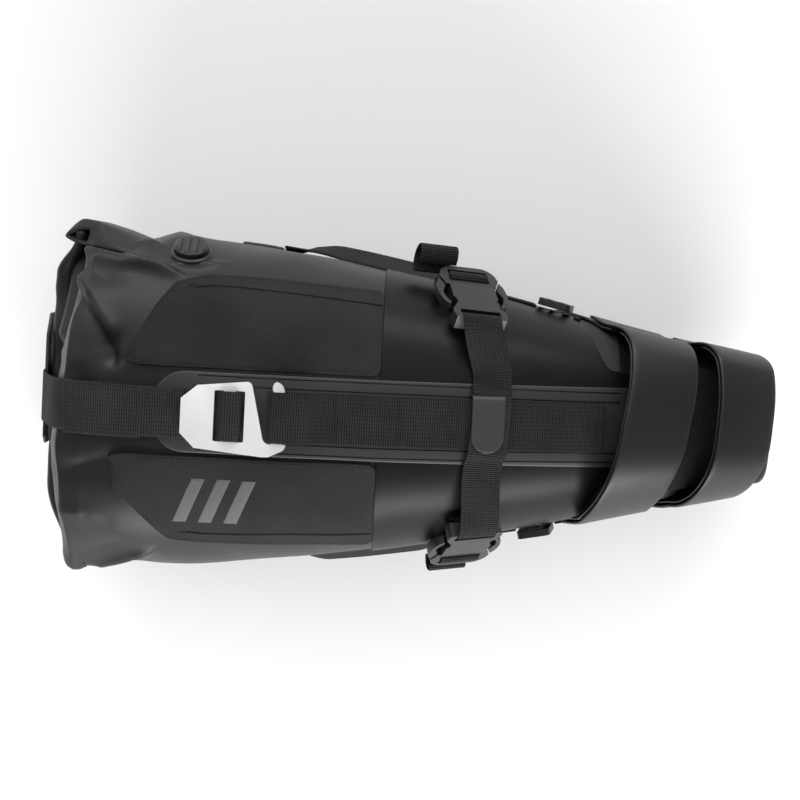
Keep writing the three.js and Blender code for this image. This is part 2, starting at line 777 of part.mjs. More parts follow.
// Each band lies in a plane square to the seatpost, which leans over the nose. It hugs the nose's
// flanks and belly, and stands off its top, where the seatpost goes. The upper left is a sharp
// corner, where the outer flap turns when it is peeled open, and the right shoulder is round.
// Both sweep back over the right shoulder.
const BANDS = [
  { name: "rear", x: 128, slope: 26, lift: 14, width: 36, sweep: 18 },
  { name: "front", x: 166, slope: 29, lift: 18, width: 33, sweep: 8 },
];
const SWEEP = { at: -42, leftward: 58, rightward: 32 }; // degrees round the section
const CORNER = 60; // degrees round the section to the flap's fold line
const FLAP_END = -112;

const smooth = (from, to, value) => {
  const t = Math.min(1, Math.max(0, (value - from) / (to - from)));
  return t * t * (3 - 2 * t);
};

function bandSurface(band) {
  const slope = band.slope * RAD;
  const crown = top(band.x);
  return (u, degrees, offset) => {
    const around = ((degrees + 180) % 360) - 180;
    const reach = around > SWEEP.at ? SWEEP.leftward : SWEEP.rightward;
    const swept = band.x - band.sweep * Math.exp(-(((around - SWEEP.at) / reach) ** 2));
    let x = band.x;
    for (let i = 0; i < 4; i++) {
      const drop = crown - skin(x, degrees).z - u * Math.sin(slope);
      x = swept + u * Math.cos(slope) - Math.tan(slope) * drop * 0.96;
    }
    const stand = around > 0 ? 1 - smooth(34, 76, around) : 1 - smooth(6, 78, -around);
    return onSkin(Math.min(x, NOSE_X - 1), degrees, offset + band.lift * stand);
  };
}

function buildBands() {
  for (const band of BANDS) {
    const surface = bandSurface(band);
    const across = [-band.width / 2, band.width / 2, 2];
    const layer = (name, from, to, steps, offsets) =>
      add(band.name + name, sheet(surface, across, [from, to, steps], offsets), "rubber");
    layer("_band_base", CORNER, 262, 22, [0.7, 2.4]);
    layer("_band_inner", 52, -97, 20, [0.7, 2]);
    layer("_band_flap", CORNER - 1, FLAP_END, 22, [2.8, 4.6]);
  }
  add("nose_pad", sheet(onSkin, [112, NOSE_X - 1, 8], [-44, 44, 6], [0.8, 3.6]), "felt");
}

buildPanels();
buildStiffeners();
buildRoll();
buildClosureStrap();
buildHook();
buildTop();
buildPatches();
buildValve();
buildBuckles();
buildCrossStrap();
buildSideStraps();
buildBands();

export default bag;
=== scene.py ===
import math

import bmesh
import bpy
import numpy as np
from mathutils import Matrix, Vector


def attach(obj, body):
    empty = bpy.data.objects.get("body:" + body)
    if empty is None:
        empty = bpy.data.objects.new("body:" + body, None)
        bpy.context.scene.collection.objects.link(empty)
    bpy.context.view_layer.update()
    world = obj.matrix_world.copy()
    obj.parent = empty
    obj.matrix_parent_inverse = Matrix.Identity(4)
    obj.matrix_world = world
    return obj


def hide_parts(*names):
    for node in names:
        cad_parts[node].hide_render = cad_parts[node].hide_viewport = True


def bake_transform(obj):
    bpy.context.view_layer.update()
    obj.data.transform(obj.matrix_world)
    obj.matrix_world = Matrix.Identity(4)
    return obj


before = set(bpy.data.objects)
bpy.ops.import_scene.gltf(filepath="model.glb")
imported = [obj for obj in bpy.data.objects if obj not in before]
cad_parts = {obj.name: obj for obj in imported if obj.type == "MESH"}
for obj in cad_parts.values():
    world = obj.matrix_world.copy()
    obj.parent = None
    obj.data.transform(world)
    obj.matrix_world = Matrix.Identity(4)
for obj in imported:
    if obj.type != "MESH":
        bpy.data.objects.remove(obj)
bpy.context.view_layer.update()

MM = 0.001
RAD = math.pi / 180
WELD = 1e-6  # metres within which two points are one
FLAT_ANGLE = 40 * RAD  # edges sharper than this are shaded sharp
scene = bpy.context.scene


def vec(*values):
    return np.array(values, float)


def unit(v):
    return v / np.maximum(np.linalg.norm(v, axis=-1, keepdims=True), 1e-9)


def smooth(start, end, value):
    t = np.clip((np.asarray(value, float) - start) / (end - start), 0, 1)
    return t * t * (3 - 2 * t)


# ------------------------------------------------------------------ the bag's surface

MOUTH_X, NOSE_X = -158, 188
SECTION_TOP, SECTION_LOW, BELLY_CUT = 2.6, 2.9, 1.05
STATIONS = (
    (-158, 83, 145, 7),
    (-135, 84.3, 149.5, 2.4),
    (-110, 84, 151.5, 0),
    (-75, 81, 152, 0),
    (-25, 74, 150, 0),
    (20, 66, 143, 0),
    (50, 60, 136, 2.5),
    (80, 53.5, 127, 8),
    (105, 47.5, 118, 13.5),
    (130, 42, 107, 18.5),
    (160, 36.5, 91, 23),
    (190, 31, 71, 26),
)


def profile(column):
    """A monotone cubic through one column of the stations."""
    xs = np.array([s[0] for s in STATIONS], float)
    ys = np.array([s[column] for s in STATIONS], float)
    slope = np.diff(ys) / np.diff(xs)
    product = slope[:-1] * slope[1:]
    middle = np.where(product > 0, 2 * product / np.where(product > 0, slope[:-1] + slope[1:], 1), 0)
    tangent = np.concatenate([[slope[0]], middle, [slope[-1]]])

    def at(x):
        x = np.asarray(x, float)
        i = np.clip(np.searchsorted(xs, x, side="right") - 1, 0, len(xs) - 2)
        h = xs[i + 1] - xs[i]
        t = (x - xs[i]) / h
        return (
            (2 * t**3 - 3 * t**2 + 1) * ys[i]
            + (t**3 - 2 * t**2 + t) * h * tangent[i]
            + (3 * t**2 - 2 * t**3) * ys[i + 1]
            + (t**3 - t**2) * h * tangent[i + 1]
        )

    return at


half_width, top, bottom = profile(1), profile(2), profile(3)


def skin(x, degrees):
    """The section at x: 0 degrees is the top, 90 the bag's left, 180 the belly."""
    x, degrees = np.broadcast_arrays(np.asarray(x, float), np.asarray(degrees, float))
    c, s = np.cos(degrees * RAD), np.sin(degrees * RAD)
    middle = (top(x) + bottom(x)) / 2
    depth = middle - bottom(x)
    n = np.where(c >= 0, SECTION_TOP, SECTION_LOW)
    upright = np.sign(c) * np.abs(c) ** (2 / n)
    belly = np.maximum(bottom(x), middle + BELLY_CUT * depth * upright)
    z = np.where(c >= 0, middle + depth * upright, belly)
    y = half_width(x) * np.sign(s) * np.abs(s) ** (2 / n)
    return np.stack([x, y, z], -1)


def skin_normal(x, degrees):
    step = 0.5
    along = skin(np.asarray(x) + step, degrees) - skin(np.asarray(x) - step, degrees)
    around = skin(x, np.asarray(degrees) + step) - skin(x, np.asarray(degrees) - step)
    return unit(np.cross(along, around))


def angle_at(x, y):
    """The angle at which the upper half of the section at x is y from the centre line."""
    share = np.clip(np.abs(y) / half_width(x), 0, 1)
    return np.sign(y) * np.arcsin(share ** (SECTION_TOP / 2)) / RAD


# Creases of the soft rear: a polyline in the bag's frame, a height, a width, and how far along the
# line it stays strong. They fan out from the corners of the mouth, where the fabric is rolled up.
CREASES = (
    # the left gusset: the edge of the top panel, the two folds below it, and the hollows between
    (((-168, 78, 106), (-158, 75, 116), (-152, 74, 118), (-134, 70, 126), (-108, 64, 134)), 3.6, 3.0, 0.8),
    (((-170, 84, 98), (-158, 81, 100), (-148, 79, 102), (-134, 80, 108), (-120, 77, 116)), 4.4, 3.4, 0.75),
    (((-162, 81, 104), (-151, 80, 107), (-141, 75, 119), (-128, 71, 126)), 2.0, 1.8, 0.8),
    (((-160, 80, 107), (-151, 78, 111), (-142, 75, 117)), -3.2, 2.6, 0.6),
    (((-156, 77, 112), (-146, 76, 116), (-136, 74, 120)), -2.6, 2.4, 0.6),
    (((-160, 84, 92), (-146, 85, 92), (-136, 84, 96)), -6.0, 7.0, 0.6),
    (((-136, 86, 105), (-135, 86, 80), (-138, 86, 55), (-140, 84, 25)), -5.0, 9.0, 0.8),
    (((-118, 85, 104), (-118, 85, 80), (-122, 84, 50)), 3.4, 9.0, 0.7),
    # the left of the top: a bright step that runs in from the corner, with a hollow behind it
    (((-164, 62, 126), (-158, 57, 133), (-151, 46, 140), (-141, 33, 146)), 3.6, 4.2, 0.8),
    (((-163, 52, 130), (-158, 50, 136), (-153, 42, 141), (-145, 29, 146), (-142, 18, 148)), -3.6, 4.6, 0.85),
    (((-146, 30, 146), (-143, 20, 148), (-143, 6, 149)), -2.0, 7.0, 0.8),
    (((-166, 70, 118), (-158, 66, 126), (-146, 62, 134), (-136, 56, 140)), -1.6, 5.0, 0.5),
    (((-156, 72, 121), (-144, 70, 126), (-128, 70, 129), (-104, 71, 127), (-86, 72, 122)), 3.0, 2.3, 0.75),
    (((-170, 24, 120), (-160, 22, 140), (-152, 18, 147)), 1.8, 4.0, 0.5),
    (((-168, 8, 130), (-158, 8, 145), (-146, 10, 149)), -1.4, 5.0, 0.6),
    # the right of the top, smoother, with a ridge along its outer edge
    (((-164, -90, 100), (-149, -82, 104), (-131, -76, 120), (-115, -69, 130)), 4.4, 3.4, 0.7),
    (((-170, -86, 100), (-158, -83, 98), (-146, -84, 97), (-128, -84, 96)), 8.0, 15.0, 0.1),
    (((-163, -84, 112), (-148, -76, 122), (-132, -66, 136)), -2.4, 4.4, 0.5),
    (((-160, -88, 90), (-140, -86, 90), (-118, -84, 90)), -3.2, 7.0, 0.6),
    (((-168, -34, 132), (-156, -30, 145), (-144, -26, 148), (-138, -40, 146)), -2.4, 5.0, 0.7),
    (((-168, -54, 128), (-156, -56, 138), (-144, -62, 138)), 1.6, 5.5, 0.6),
    (((-160, -88, 62), (-136, -86, 52), (-110, -82, 44)), 2.2, 7.0, 0.5),
    (((-158, 86, 60), (-134, 86, 50), (-112, 84, 40)), 2.0, 7.0, 0.5),
    # the belly's rear corners
    (((-158, 60, 8), (-140, 52, 3), (-122, 44, 0)), -1.2, 6.0, 0.5),
    (((-158, -58, 8), (-140, -48, 3), (-122, -42, 0)), -1.2, 6.0, 0.5),
)


def distance_to_line(points, line):
    """Distance of each point to a polyline, and how far along it the nearest spot lies, 0 to 1."""
    line = np.array(line, float)
    lengths = np.linalg.norm(np.diff(line, axis=0), axis=1)
    total = lengths.sum()
    best = np.full(points.shape[:-1], 1e9)
    where = np.zeros(points.shape[:-1])
    walked = 0.0
    for a, b, length in zip(line[:-1], line[1:], lengths):
        t = np.clip(((points - a) @ (b - a)) / length**2, 0, 1)
        d = np.linalg.norm(points - (a + t[..., None] * (b - a)), axis=-1)
        nearer = d < best
        best = np.where(nearer, d, best)
        where = np.where(nearer, (walked + t * length) / total, where)
        walked += length
    return best, where


def relief(points):
    """How far the stuffed, creased fabric stands off the plain section, in millimetres."""
    x, y, z = points[..., 0], points[..., 1], points[..., 2]
    rise = np.zeros(x.shape)
    for line, height, width, strong in CREASES:
        d, where = distance_to_line(points, line)
        rise += height * np.exp(-((d / width) ** 1.3)) * (1 - smooth(strong, 1, where))
    soft = smooth(-20, -120, x) * smooth(8, 40, z)
    rise += soft * 0.9 * np.sin(x / 17 + y / 31 + 1.3) * np.sin(y / 19 - z / 27)
    rise += smooth(40, -60, x) * smooth(20, 50, z) * 0.35 * np.sin(x / 9 + z / 13) * np.sin(y / 11 + 0.7)
    return rise


def body(x, degrees, offset=0.0):
    plain = skin(x, degrees)
    return plain + skin_normal(x, degrees) * (relief(plain) + offset)[..., None]


def walk(points):
    """The distance walked along a line of points, at each of them."""
    return np.concatenate([[0], np.cumsum(np.linalg.norm(np.diff(points, axis=0), axis=1))])


def sample(values, walked, at):
    """Values given along a line, read at other distances along it."""
    return np.stack([np.interp(at, walked, values[:, k]) for k in range(3)], -1)


# ------------------------------------------------------------------ meshes


def add(name, data):
    obj = bpy.data.objects.new(name, data)
    scene.collection.objects.link(obj)
    return obj


def new_object(name, verts, faces, uvs=None, shade=True):
    mesh = bpy.data.meshes.new(name)
    mesh.from_pydata([tuple(v) for v in np.asarray(verts) * MM], [], faces)
    if uvs is not None:
        layer = mesh.uv_layers.new(name="UVMap")
        for loop in mesh.loops:
            layer.data[loop.index].uv = uvs[loop.vertex_index]
    mesh.validate()
    if shade:
        mesh.shade_smooth()
    return add(name, mesh)


def outward(obj, weld=False):
    """Turn a mesh's faces outward, after joining the points that coincide if weld is set."""
    made = bmesh.new()
    made.from_mesh(obj.data)
    if weld:
        bmesh.ops.remove_doubles(made, verts=made.verts, dist=WELD)
    bmesh.ops.recalc_face_normals(made, faces=made.faces)
    made.to_mesh(obj.data)
    made.free()
    return obj


def thicken(obj, thickness):
    """Give a one-sided shell its cloth's thickness, in millimetres, behind its faces."""
    solid = obj.modifiers.new("cloth_thickness", "SOLIDIFY")
    solid.thickness = thickness * MM
    solid.offset = -1


def grid_faces(rows, width, closed=False, first=0):
    """Quads of a grid of points that starts at first; closed joins its last column to its first."""
    last = width if closed else width - 1
    return [
        (first + i * width + j, first + (i + 1) * width + j,
         first + (i + 1) * width + (j + 1) % width, first + i * width + (j + 1) % width)
        for i in range(rows - 1)
        for j in range(last)
    ]


def edge_rows(length, step, radius):
    """Places from 0 to length about step apart, with closer ones at both ends for a rounded edge."""
    near = [radius * k for k in (0, 0.12, 0.45, 1)]
    inner = np.linspace(near[-1], length - near[-1], max(2, int(round(length / step))))
    return np.concatenate([near[:-1], inner, [length - r for r in reversed(near[:-1])]])


def rounding(distance, radius):
    return np.sqrt(np.clip(1 - (1 - np.clip(distance / radius, 0, 1)) ** 2, 0, 1))


def slab(name, surface, long_mm, wide_mm, thickness, step=2.0, wide_step=3.0, radius=None, lift=0.0):
    """A sheet with rounded edges. surface(u, v, offset) takes u along 0..long_mm and v across
    0..wide_mm, and its two faces meet at the edges."""
    radius = radius or thickness * 0.6
    us = edge_rows(long_mm, step, radius)
    vs = edge_rows(wide_mm, wide_step, radius)
    u, v = np.meshgrid(us, vs, indexing="ij")
    border = np.minimum(np.minimum(u, long_mm - u), np.minimum(v, wide_mm - v))
    swell = rounding(border, radius) * thickness / 2
    upper = surface(u, v, lift + thickness / 2 + swell)
    lower = surface(u, v, lift + thickness / 2 - swell)
    rows, columns = u.shape
    verts = np.concatenate([upper.reshape(-1, 3), lower.reshape(-1, 3)])
    faces = grid_faces(rows, columns)
    faces += [tuple(reversed(f)) for f in grid_faces(rows, columns, first=rows * columns)]
    flat = np.stack([u, v], -1).reshape(-1, 2)
    return outward(new_object(name, verts, faces, np.concatenate([flat, flat])), weld=True)


def curve_through(points, count):
    """A centripetal Catmull-Rom curve, sampled evenly by length."""
    p = np.array(points, float)
    p = np.concatenate([[2 * p[0] - p[1]], p, [2 * p[-1] - p[-2]]])
    made = []
    for i in range(1, len(p) - 2):
        knots = [0.0]
        for a, b in zip(p[i - 1 : i + 2], p[i : i + 3]):
            knots.append(knots[-1] + max(np.linalg.norm(b - a) ** 0.5, 1e-6))
        t = np.linspace(knots[1], knots[2], 24, endpoint=False)[:, None]
        k0, k1, k2, k3 = knots
        a1 = (k1 - t) / (k1 - k0) * p[i - 1] + (t - k0) / (k1 - k0) * p[i]
        a2 = (k2 - t) / (k2 - k1) * p[i] + (t - k1) / (k2 - k1) * p[i + 1]
        a3 = (k3 - t) / (k3 - k2) * p[i + 1] + (t - k2) / (k3 - k2) * p[i + 2]
        b1 = (k2 - t) / (k2 - k0) * a1 + (t - k0) / (k2 - k0) * a2
        b2 = (k3 - t) / (k3 - k1) * a2 + (t - k1) / (k3 - k1) * a3
        made.append((k2 - t) / (k2 - k1) * b1 + (t - k1) / (k2 - k1) * b2)
    made = np.concatenate(made + [p[-2:-1]])
    lengths = walk(made)
    return sample(made, lengths, np.linspace(0, lengths[-1], count)), lengths[-1]


def strap(name, points, across, width, thickness):
    """Webbing along a curve. across is one direction, or one for each of the curve's points."""
    samples = 400
    line, length = curve_through(points, samples)
    tangent = unit(np.gradient(line, axis=0))
    if np.ndim(across) == 1:
        side = np.broadcast_to(vec(*across), line.shape)
    else:
        side, _ = curve_through(across, samples)
    side = unit(side - tangent * (side * tangent).sum(-1, keepdims=True))
    normal = unit(np.cross(tangent, side))
    walked = np.linspace(0, length, samples)

    def surface(u, v, offset):
        out = (offset - thickness / 2)[..., None]
        middle, over, up = (sample(values, walked, u) for values in (line, side, normal))
        return middle + over * (v - width / 2)[..., None] + up * out

    return slab(name, surface, length, width, thickness, step=1.6, wide_step=2.5, radius=thickness * 0.55)


def softened(name, node, width):
    """A copy of a CAD node with its faces cleaned up and its edges rounded."""
    obj = add(name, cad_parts[node].data.copy())
    obj.data.name = name
    obj.data.materials.clear()
    made = bmesh.new()
    made.from_mesh(obj.data)
    bmesh.ops.remove_doubles(made, verts=made.verts, dist=WELD)
    bmesh.ops.dissolve_limit(made, angle_limit=2 * RAD, verts=made.verts, edges=made.edges)
    sharp = [e for e in made.edges if len(e.link_faces) == 2 and e.calc_face_angle(0) > 28 * RAD]
    bmesh.ops.bevel(
        made, geom=sharp, offset=width * MM, segments=3, affect="EDGES", clamp_overlap=True, profile=0.6
    )
    bmesh.ops.recalc_face_normals(made, faces=made.faces)
    made.to_mesh(obj.data)
    made.free()
    obj.data.shade_smooth()
    obj.data.set_sharp_from_angle(angle=FLAT_ANGLE)
    return obj


def join(name, objects):
    with bpy.context.temp_override(active_object=objects[0], selected_editable_objects=objects):
        bpy.ops.object.join()
    objects[0].name = name
    objects[0].data.name = name
    return objects[0]


# ------------------------------------------------------------------ materials


class Graph:
    """A small helper round one material's node tree."""

    def __init__(self, name, color, roughness, metallic=0.0, **sockets):
        self.material = bpy.data.materials.new(name)
        self.material.use_nodes = True
        self.tree = self.material.node_tree
        self.shader = self.tree.nodes["Principled BSDF"]
        self.color = color
        self.shader.inputs["Base Color"].default_value = (*color, 1)
        self.shader.inputs["Roughness"].default_value = roughness
        self.shader.inputs["Metallic"].default_value = metallic
        for socket, value in sockets.items():
            self.shader.inputs[socket.replace("_", " ")].default_value = value

    def node(self, kind, **settings):
        """A node with its settings: each names a property of the node, or else one of its inputs."""
        made = self.tree.nodes.new(kind)
        for key, value in settings.items():
            if hasattr(made, key):
                setattr(made, key, value)
            else:
                made.inputs[key].default_value = value
        return made

    def link(self, a, b):
        self.tree.links.new(a, b)

    def math(self, operation, a, b=None):
        made = self.node("ShaderNodeMath", operation=operation)
        for i, value in enumerate([a, b]):
            if isinstance(value, (int, float)):
                made.inputs[i].default_value = value
            elif value is not None:
                self.link(value, made.inputs[i])
        return made.outputs[0]

    def place(self, uv):
        return self.node("ShaderNodeTexCoord").outputs["UV" if uv else "Object"]

    def flat(self):
        """The two flat coordinates of the cloth, in millimetres."""
        uv = self.node("ShaderNodeSeparateXYZ")
        self.link(self.place(True), uv.inputs[0])
        return uv.outputs[0], uv.outputs[1]

    def ridges(self, along, pitch):
        """Rounded ridges from 0 to 1, one in each pitch."""
        return self.math("ABSOLUTE", self.math("SINE", self.math("MULTIPLY", along, math.pi / pitch)))

    def noise(self, where, scale, detail=3.0, stretch=None):
        made = self.node("ShaderNodeTexNoise", Scale=scale, Detail=detail)
        if stretch:
            mapping = self.node("ShaderNodeMapping", Scale=stretch)
            self.link(where, mapping.inputs["Vector"])
            where = mapping.outputs["Vector"]
        self.link(where, made.inputs["Vector"])
        return made.outputs["Fac"]

    def tint(self, factor, dark, light):
        """Base colour from dark to light times the material's colour."""
        mix = self.node("ShaderNodeMix", data_type="RGBA")
        mix.inputs["A"].default_value = (*[c * dark for c in self.color], 1)
        mix.inputs["B"].default_value = (*[min(1, c * light) for c in self.color], 1)
        self.link(factor, mix.inputs["Factor"])
        self.link(mix.outputs["Result"], self.shader.inputs["Base Color"])

    def rough(self, factor, low, high):
        span = self.node("ShaderNodeMapRange", **{"To Min": low, "To Max": high})
        self.link(factor, span.inputs["Value"])
        self.link(span.outputs["Result"], self.shader.inputs["Roughness"])

    def bumps(self, *layers):
        """Each layer is (height, distance in metres, strength); they stack."""
        normal = None
        for height, distance, strength in layers:
            bump = self.node("ShaderNodeBump", Distance=distance, Strength=strength)
            self.link(height, bump.inputs["Height"])
            if normal is not None:
                self.link(normal, bump.inputs["Normal"])
            normal = bump.outputs["Normal"]
        self.link(normal, self.shader.inputs["Normal"])


def plain_weave(graph, rib, column):
    """Height of a woven band, from its UV in millimetres: strong ribs across it, split into columns."""
    along, over = graph.flat()
    crown = graph.ridges(along, rib)
    cross = graph.ridges(over, column)
    split = graph.math("ADD", graph.math("MULTIPLY", graph.math("POWER", cross, 0.5), 0.6), 0.4)
    return graph.math("MULTIPLY", graph.math("POWER", crown, 0.8), split)


def webbing_material(name, color, rib=1.2, column=1.9):
    g = Graph(name, color, 0.8, Specular_IOR_Level=0.2)
    weave = plain_weave(g, rib, column)
    fuzz = g.noise(g.place(False), 900, 2)
    wear = g.noise(g.place(False), 60, 3)
    shade = g.math("ADD", g.math("MULTIPLY", weave, 0.9), g.math("MULTIPLY", fuzz, 0.25))
    g.tint(g.math("MULTIPLY", shade, g.math("ADD", wear, 0.5)), 0.05, 3.0)
    g.bumps((weave, 0.0005, 1.0), (fuzz, 0.0001, 0.3))
    return g.material


def mottled(name, color, roughness, noises, tint, gloss=None, bumps=(), metallic=0.0, **sockets):
    """A material led by noises, each (scale, detail). The first sets colour and gloss. bumps are
    (which noise, distance in metres, strength)."""
    g = Graph(name, color, roughness, metallic, **sockets)
    where = g.place(False)
    made = [g.noise(where, scale, detail) for scale, detail in noises]
    g.tint(made[0], *tint)
    if gloss:
        g.rough(made[0], *gloss)
    g.bumps(*[(made[which], distance, strength) for which, distance, strength in bumps])
    return g.material


def coated_material():
    """Thin coated nylon with a faint ripstop grid."""
    g = Graph("coated_nylon", (0.010, 0.0104, 0.0107), 0.4, Specular_IOR_Level=0.31)
    where = g.place(False)
    flat = g.flat()
    grid = g.math("MAXIMUM", *[g.math("POWER", g.ridges(axis, 2.6), 40) for axis in flat])
    cloth = g.math("MULTIPLY", *[g.math("SINE", g.math("MULTIPLY", axis, 14)) for axis in flat])
    broad = g.noise(where, 35, 5)
    g.tint(g.math("ADD", broad, g.math("MULTIPLY", grid, 0.06)), 0.75, 1.3)
    g.rough(broad, 0.38, 0.5)
    g.bumps((broad, 0.0009, 0.35), (grid, 0.00005, 0.3), (cloth, 0.00002, 0.3))
    return g.material


def twill_material(name, color, pitch):
    g = Graph(name, color, 0.88, Specular_IOR_Level=0.2)
    flat = g.flat()
    rib = g.ridges(g.math("ADD", *flat), pitch)
    cut = g.ridges(g.math("SUBTRACT", *flat), pitch * 1.6)
    weave = g.math("POWER", g.math("MULTIPLY", rib, g.math("ADD", g.math("MULTIPLY", cut, 0.6), 0.4)), 0.7)
    grain = g.noise(g.place(False), 1100, 3)
    broad = g.noise(g.place(False), 30, 3)
    shade = g.math("MULTIPLY", g.math("ADD", g.math("MULTIPLY", weave, 0.6), g.math("MULTIPLY", grain, 0.6)),
                   g.math("ADD", broad, 0.5))
    g.tint(shade, 0.3, 2.5)
    g.bumps((weave, 0.0003, 0.6), (grain, 0.00015, 0.5))
    return g.material


def rubber_material(name="band_rubber", color=(0.0045, 0.0047, 0.005)):
    g = Graph(name, color, 0.42, Specular_IOR_Level=0.5)
    where = g.place(False)
    fine = g.noise(where, 1800, 2)
    broad = g.noise(where, 16, 3)
    scuff = g.noise(where, 220, 5, stretch=(1, 0.25, 1))
    g.tint(g.math("ADD", g.math("MULTIPLY", broad, 0.7), g.math("MULTIPLY", scuff, 0.3)), 0.85, 1.2)
    g.rough(g.math("ADD", g.math("MULTIPLY", broad, 0.6), g.math("MULTIPLY", scuff, 0.4)), 0.36, 0.52)
    g.bumps((broad, 0.0008, 0.2), (scuff, 0.00003, 0.3), (fine, 0.00003, 0.35))
    return g.material


def felt_material():
    # The felt's colour is darkened well below its own grey. This is painted shade, so the felt showing in the
    # gaps under the seatpost bands reads as shadow.
    g = Graph("grey_felt", (0.009, 0.0094, 0.0094), 0.95, Specular_IOR_Level=0.1)
    where = g.place(False)
    hair = g.noise(where, 1500, 5, stretch=(1, 0.4, 1))
    clump = g.noise(where, 260, 4)
    g.tint(g.math("MULTIPLY", g.math("ADD", hair, 0.2), g.math("ADD", clump, 0.3)), 0.35, 2.2)
    g.bumps((clump, 0.0006, 0.5), (hair, 0.0003, 0.8))
    return g.material


LAMINATE = mottled(
    "laminate_satin", (0.003, 0.0031, 0.0033), 0.4, ((22, 4), (1400, 2)), (0.82, 1.2), (0.37, 0.46),
    ((0, 0.0006, 0.25), (1, 0.00004, 0.35)), Specular_IOR_Level=0.19,
)
COATED = coated_material()
CORDURA = twill_material("patch_twill", (0.0125, 0.0125, 0.013), 1.3)
RIBBED = twill_material("ribbed_fabric", (0.02, 0.02, 0.021), 2.2)
WEBBING = webbing_material("black_webbing", (0.0085, 0.0084, 0.0082))
OLIVE_WEBBING = webbing_material("closure_webbing", (0.0108, 0.0106, 0.0094))
NARROW_WEBBING = webbing_material("narrow_webbing", (0.0085, 0.0085, 0.0085), rib=1.12, column=2.15)
RUBBER = rubber_material()
# The strip's colour is several times lighter than the other rubber. This is painted sheen: it stands in for
# the light the flat strip would reflect from above.
STRIP_PAINTED_SHEEN = rubber_material("strip_film_painted_sheen", (0.026, 0.027, 0.028))
KEEPER = rubber_material("keeper_rubber", (0.024, 0.025, 0.025))
PLASTIC = mottled(
    "moulded_plastic", (0.006, 0.0062, 0.0066), 0.42, ((90, 4), (2600, 2)), (0.8, 1.35), (0.34, 0.5),
    ((1, 0.00004, 0.5), (0, 0.00005, 0.2)), Specular_IOR_Level=0.5,
)
FELT = felt_material()
ALUMINIUM = mottled(
    "blasted_aluminium", (0.93, 0.93, 0.92), 0.36, ((45, 4), (3200, 2)), (0.93, 1.03), (0.30, 0.42),
    ((1, 0.00002, 0.5),), metallic=0.55, Specular_IOR_Level=0.6,
)
THREAD = mottled(
    "stitching_thread", (0.016, 0.016, 0.0155), 0.7, ((2400, 2),), (0.5, 1.9),
    bumps=((0, 0.0001, 0.5),), Specular_IOR_Level=0.2,
)
PRINT = mottled(
    "printed_mark", (0.085, 0.088, 0.088), 0.7, ((1100, 3),), (0.6, 1.35), bumps=((0, 0.00012, 0.5),)
)
SHEET_PLASTIC = mottled(
    "stiffener_sheet", (0.33, 0.34, 0.34), 0.55, ((400, 3),), (0.8, 1.1), bumps=((0, 0.0001, 0.3),)
)


def paint(obj, material):
    obj.data.materials.clear()
    obj.data.materials.append(material)


def finish_piece(obj, material, slot, rides=None, nodes=(), blend=None):
    """Give a piece its material and the body that it moves with, hide its CAD nodes, and bake its placement
    into its mesh when blend is given. slot is not used.
    """
    paint(obj, material)
    if rides:
        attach(obj, rides)
    if blend:
        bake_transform(obj)
    if nodes:
        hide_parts(*nodes)
    return obj


def hard_piece(name, node, rides, width, material=PLASTIC, slot="plastic"):
    """A hard part: its CAD node with rounded edges."""
    finish_piece(softened(name, node, width), material, slot, rides, (node,))


def sheet(name, surface, size, material, slot, nodes=(), **shape):
    """A slab of the bag's, finished. size is its length, width and thickness."""
    finish_piece(slab(name, surface, *size, **shape), material, slot, "bag", nodes)


def webbing(name, points, across, size, material=NARROW_WEBBING, **rest):
    """Webbing along a curve, finished. size is its width and thickness."""
    finish_piece(strap(name, points, across, *size), material, "webbing", **rest)


# ------------------------------------------------------------------ stitching


def stitches(name, line, normals, rides, pitch=2.6, length=1.9, radius=0.28):
    """Short rounded stitches laid end to end along a line of points."""
    line, normals = np.asarray(line, float), np.asarray(normals, float)
    walked = walk(line)
    count = max(1, int(walked[-1] / pitch))
    verts, faces = [], []
    sides = 6
    ring = [(math.cos(a), math.sin(a)) for a in np.linspace(0, 2 * math.pi, sides, endpoint=False)]
    profile_of = ((-0.5, 0.15), (-0.36, 0.8), (0.0, 1.0), (0.36, 0.8), (0.5, 0.15))
    for k in range(count):
        s = (k + 0.5) * walked[-1] / count
        here, ahead, behind = (sample(line, walked, at) for at in (s, s + 0.4, s - 0.4))
        up = unit(sample(normals, walked, s))
        along = unit(ahead - behind)
        side = unit(np.cross(up, along))
        start = len(verts)
        for where, swell in profile_of:
            for c, q in ring:
                outward_by = (side * c + up * (q * 0.8 + 0.25)) * radius * swell
                verts.append(here + along * where * length + outward_by)
        last = start + sides * (len(profile_of) - 1)
        for row in range(start, last, sides):
            for j in range(sides):
                a, b = row + j, row + (j + 1) % sides
                faces.append((a, b, b + sides, a + sides))
        faces.append(tuple(start + j for j in reversed(range(sides))))
        faces.append(tuple(last + j for j in range(sides)))
    obj = outward(new_object(name, verts, faces))
    return finish_piece(obj, THREAD, "webbing", rides)


def top_line(points, offset, count=80):
    """A smooth line over the bag's top through (x, y) points, and the normals along it."""
    path, _ = curve_through([(x, y, 0) for x, y in points], count)
    angle = angle_at(path[:, 0], path[:, 1])
    return body(path[:, 0], angle, offset + np.zeros(count)), skin_normal(path[:, 0], angle)


# ------------------------------------------------------------------ roll-top: body, collar and roll

ROLL = {"x": -175.4, "z": 74, "half_x": 7, "half_z": 17, "turns": 2.6}
COLLAR_END_X = -168
SEAM_X = -12  # where the soft rear meets the welded front
FALL_AT = (0, 0.2, 0.45, 0.7, 0.88, 1)  # places along the collar at which its fall over the roll is given


# How far back the top fabric hangs over the roll, as (y, x): it is skewed, like the real roll.
OVERHANG = (
    (-92, -162), (-89, -162.6), (-77, -165.9), (-64, -169.8), (-52, -172.4), (-34, -175), (7, -174.1),
    (24, -170.8), (34, -168.7), (44, -166.5), (55, -165), (69, -164), (76, -163.8), (90, -162),
)


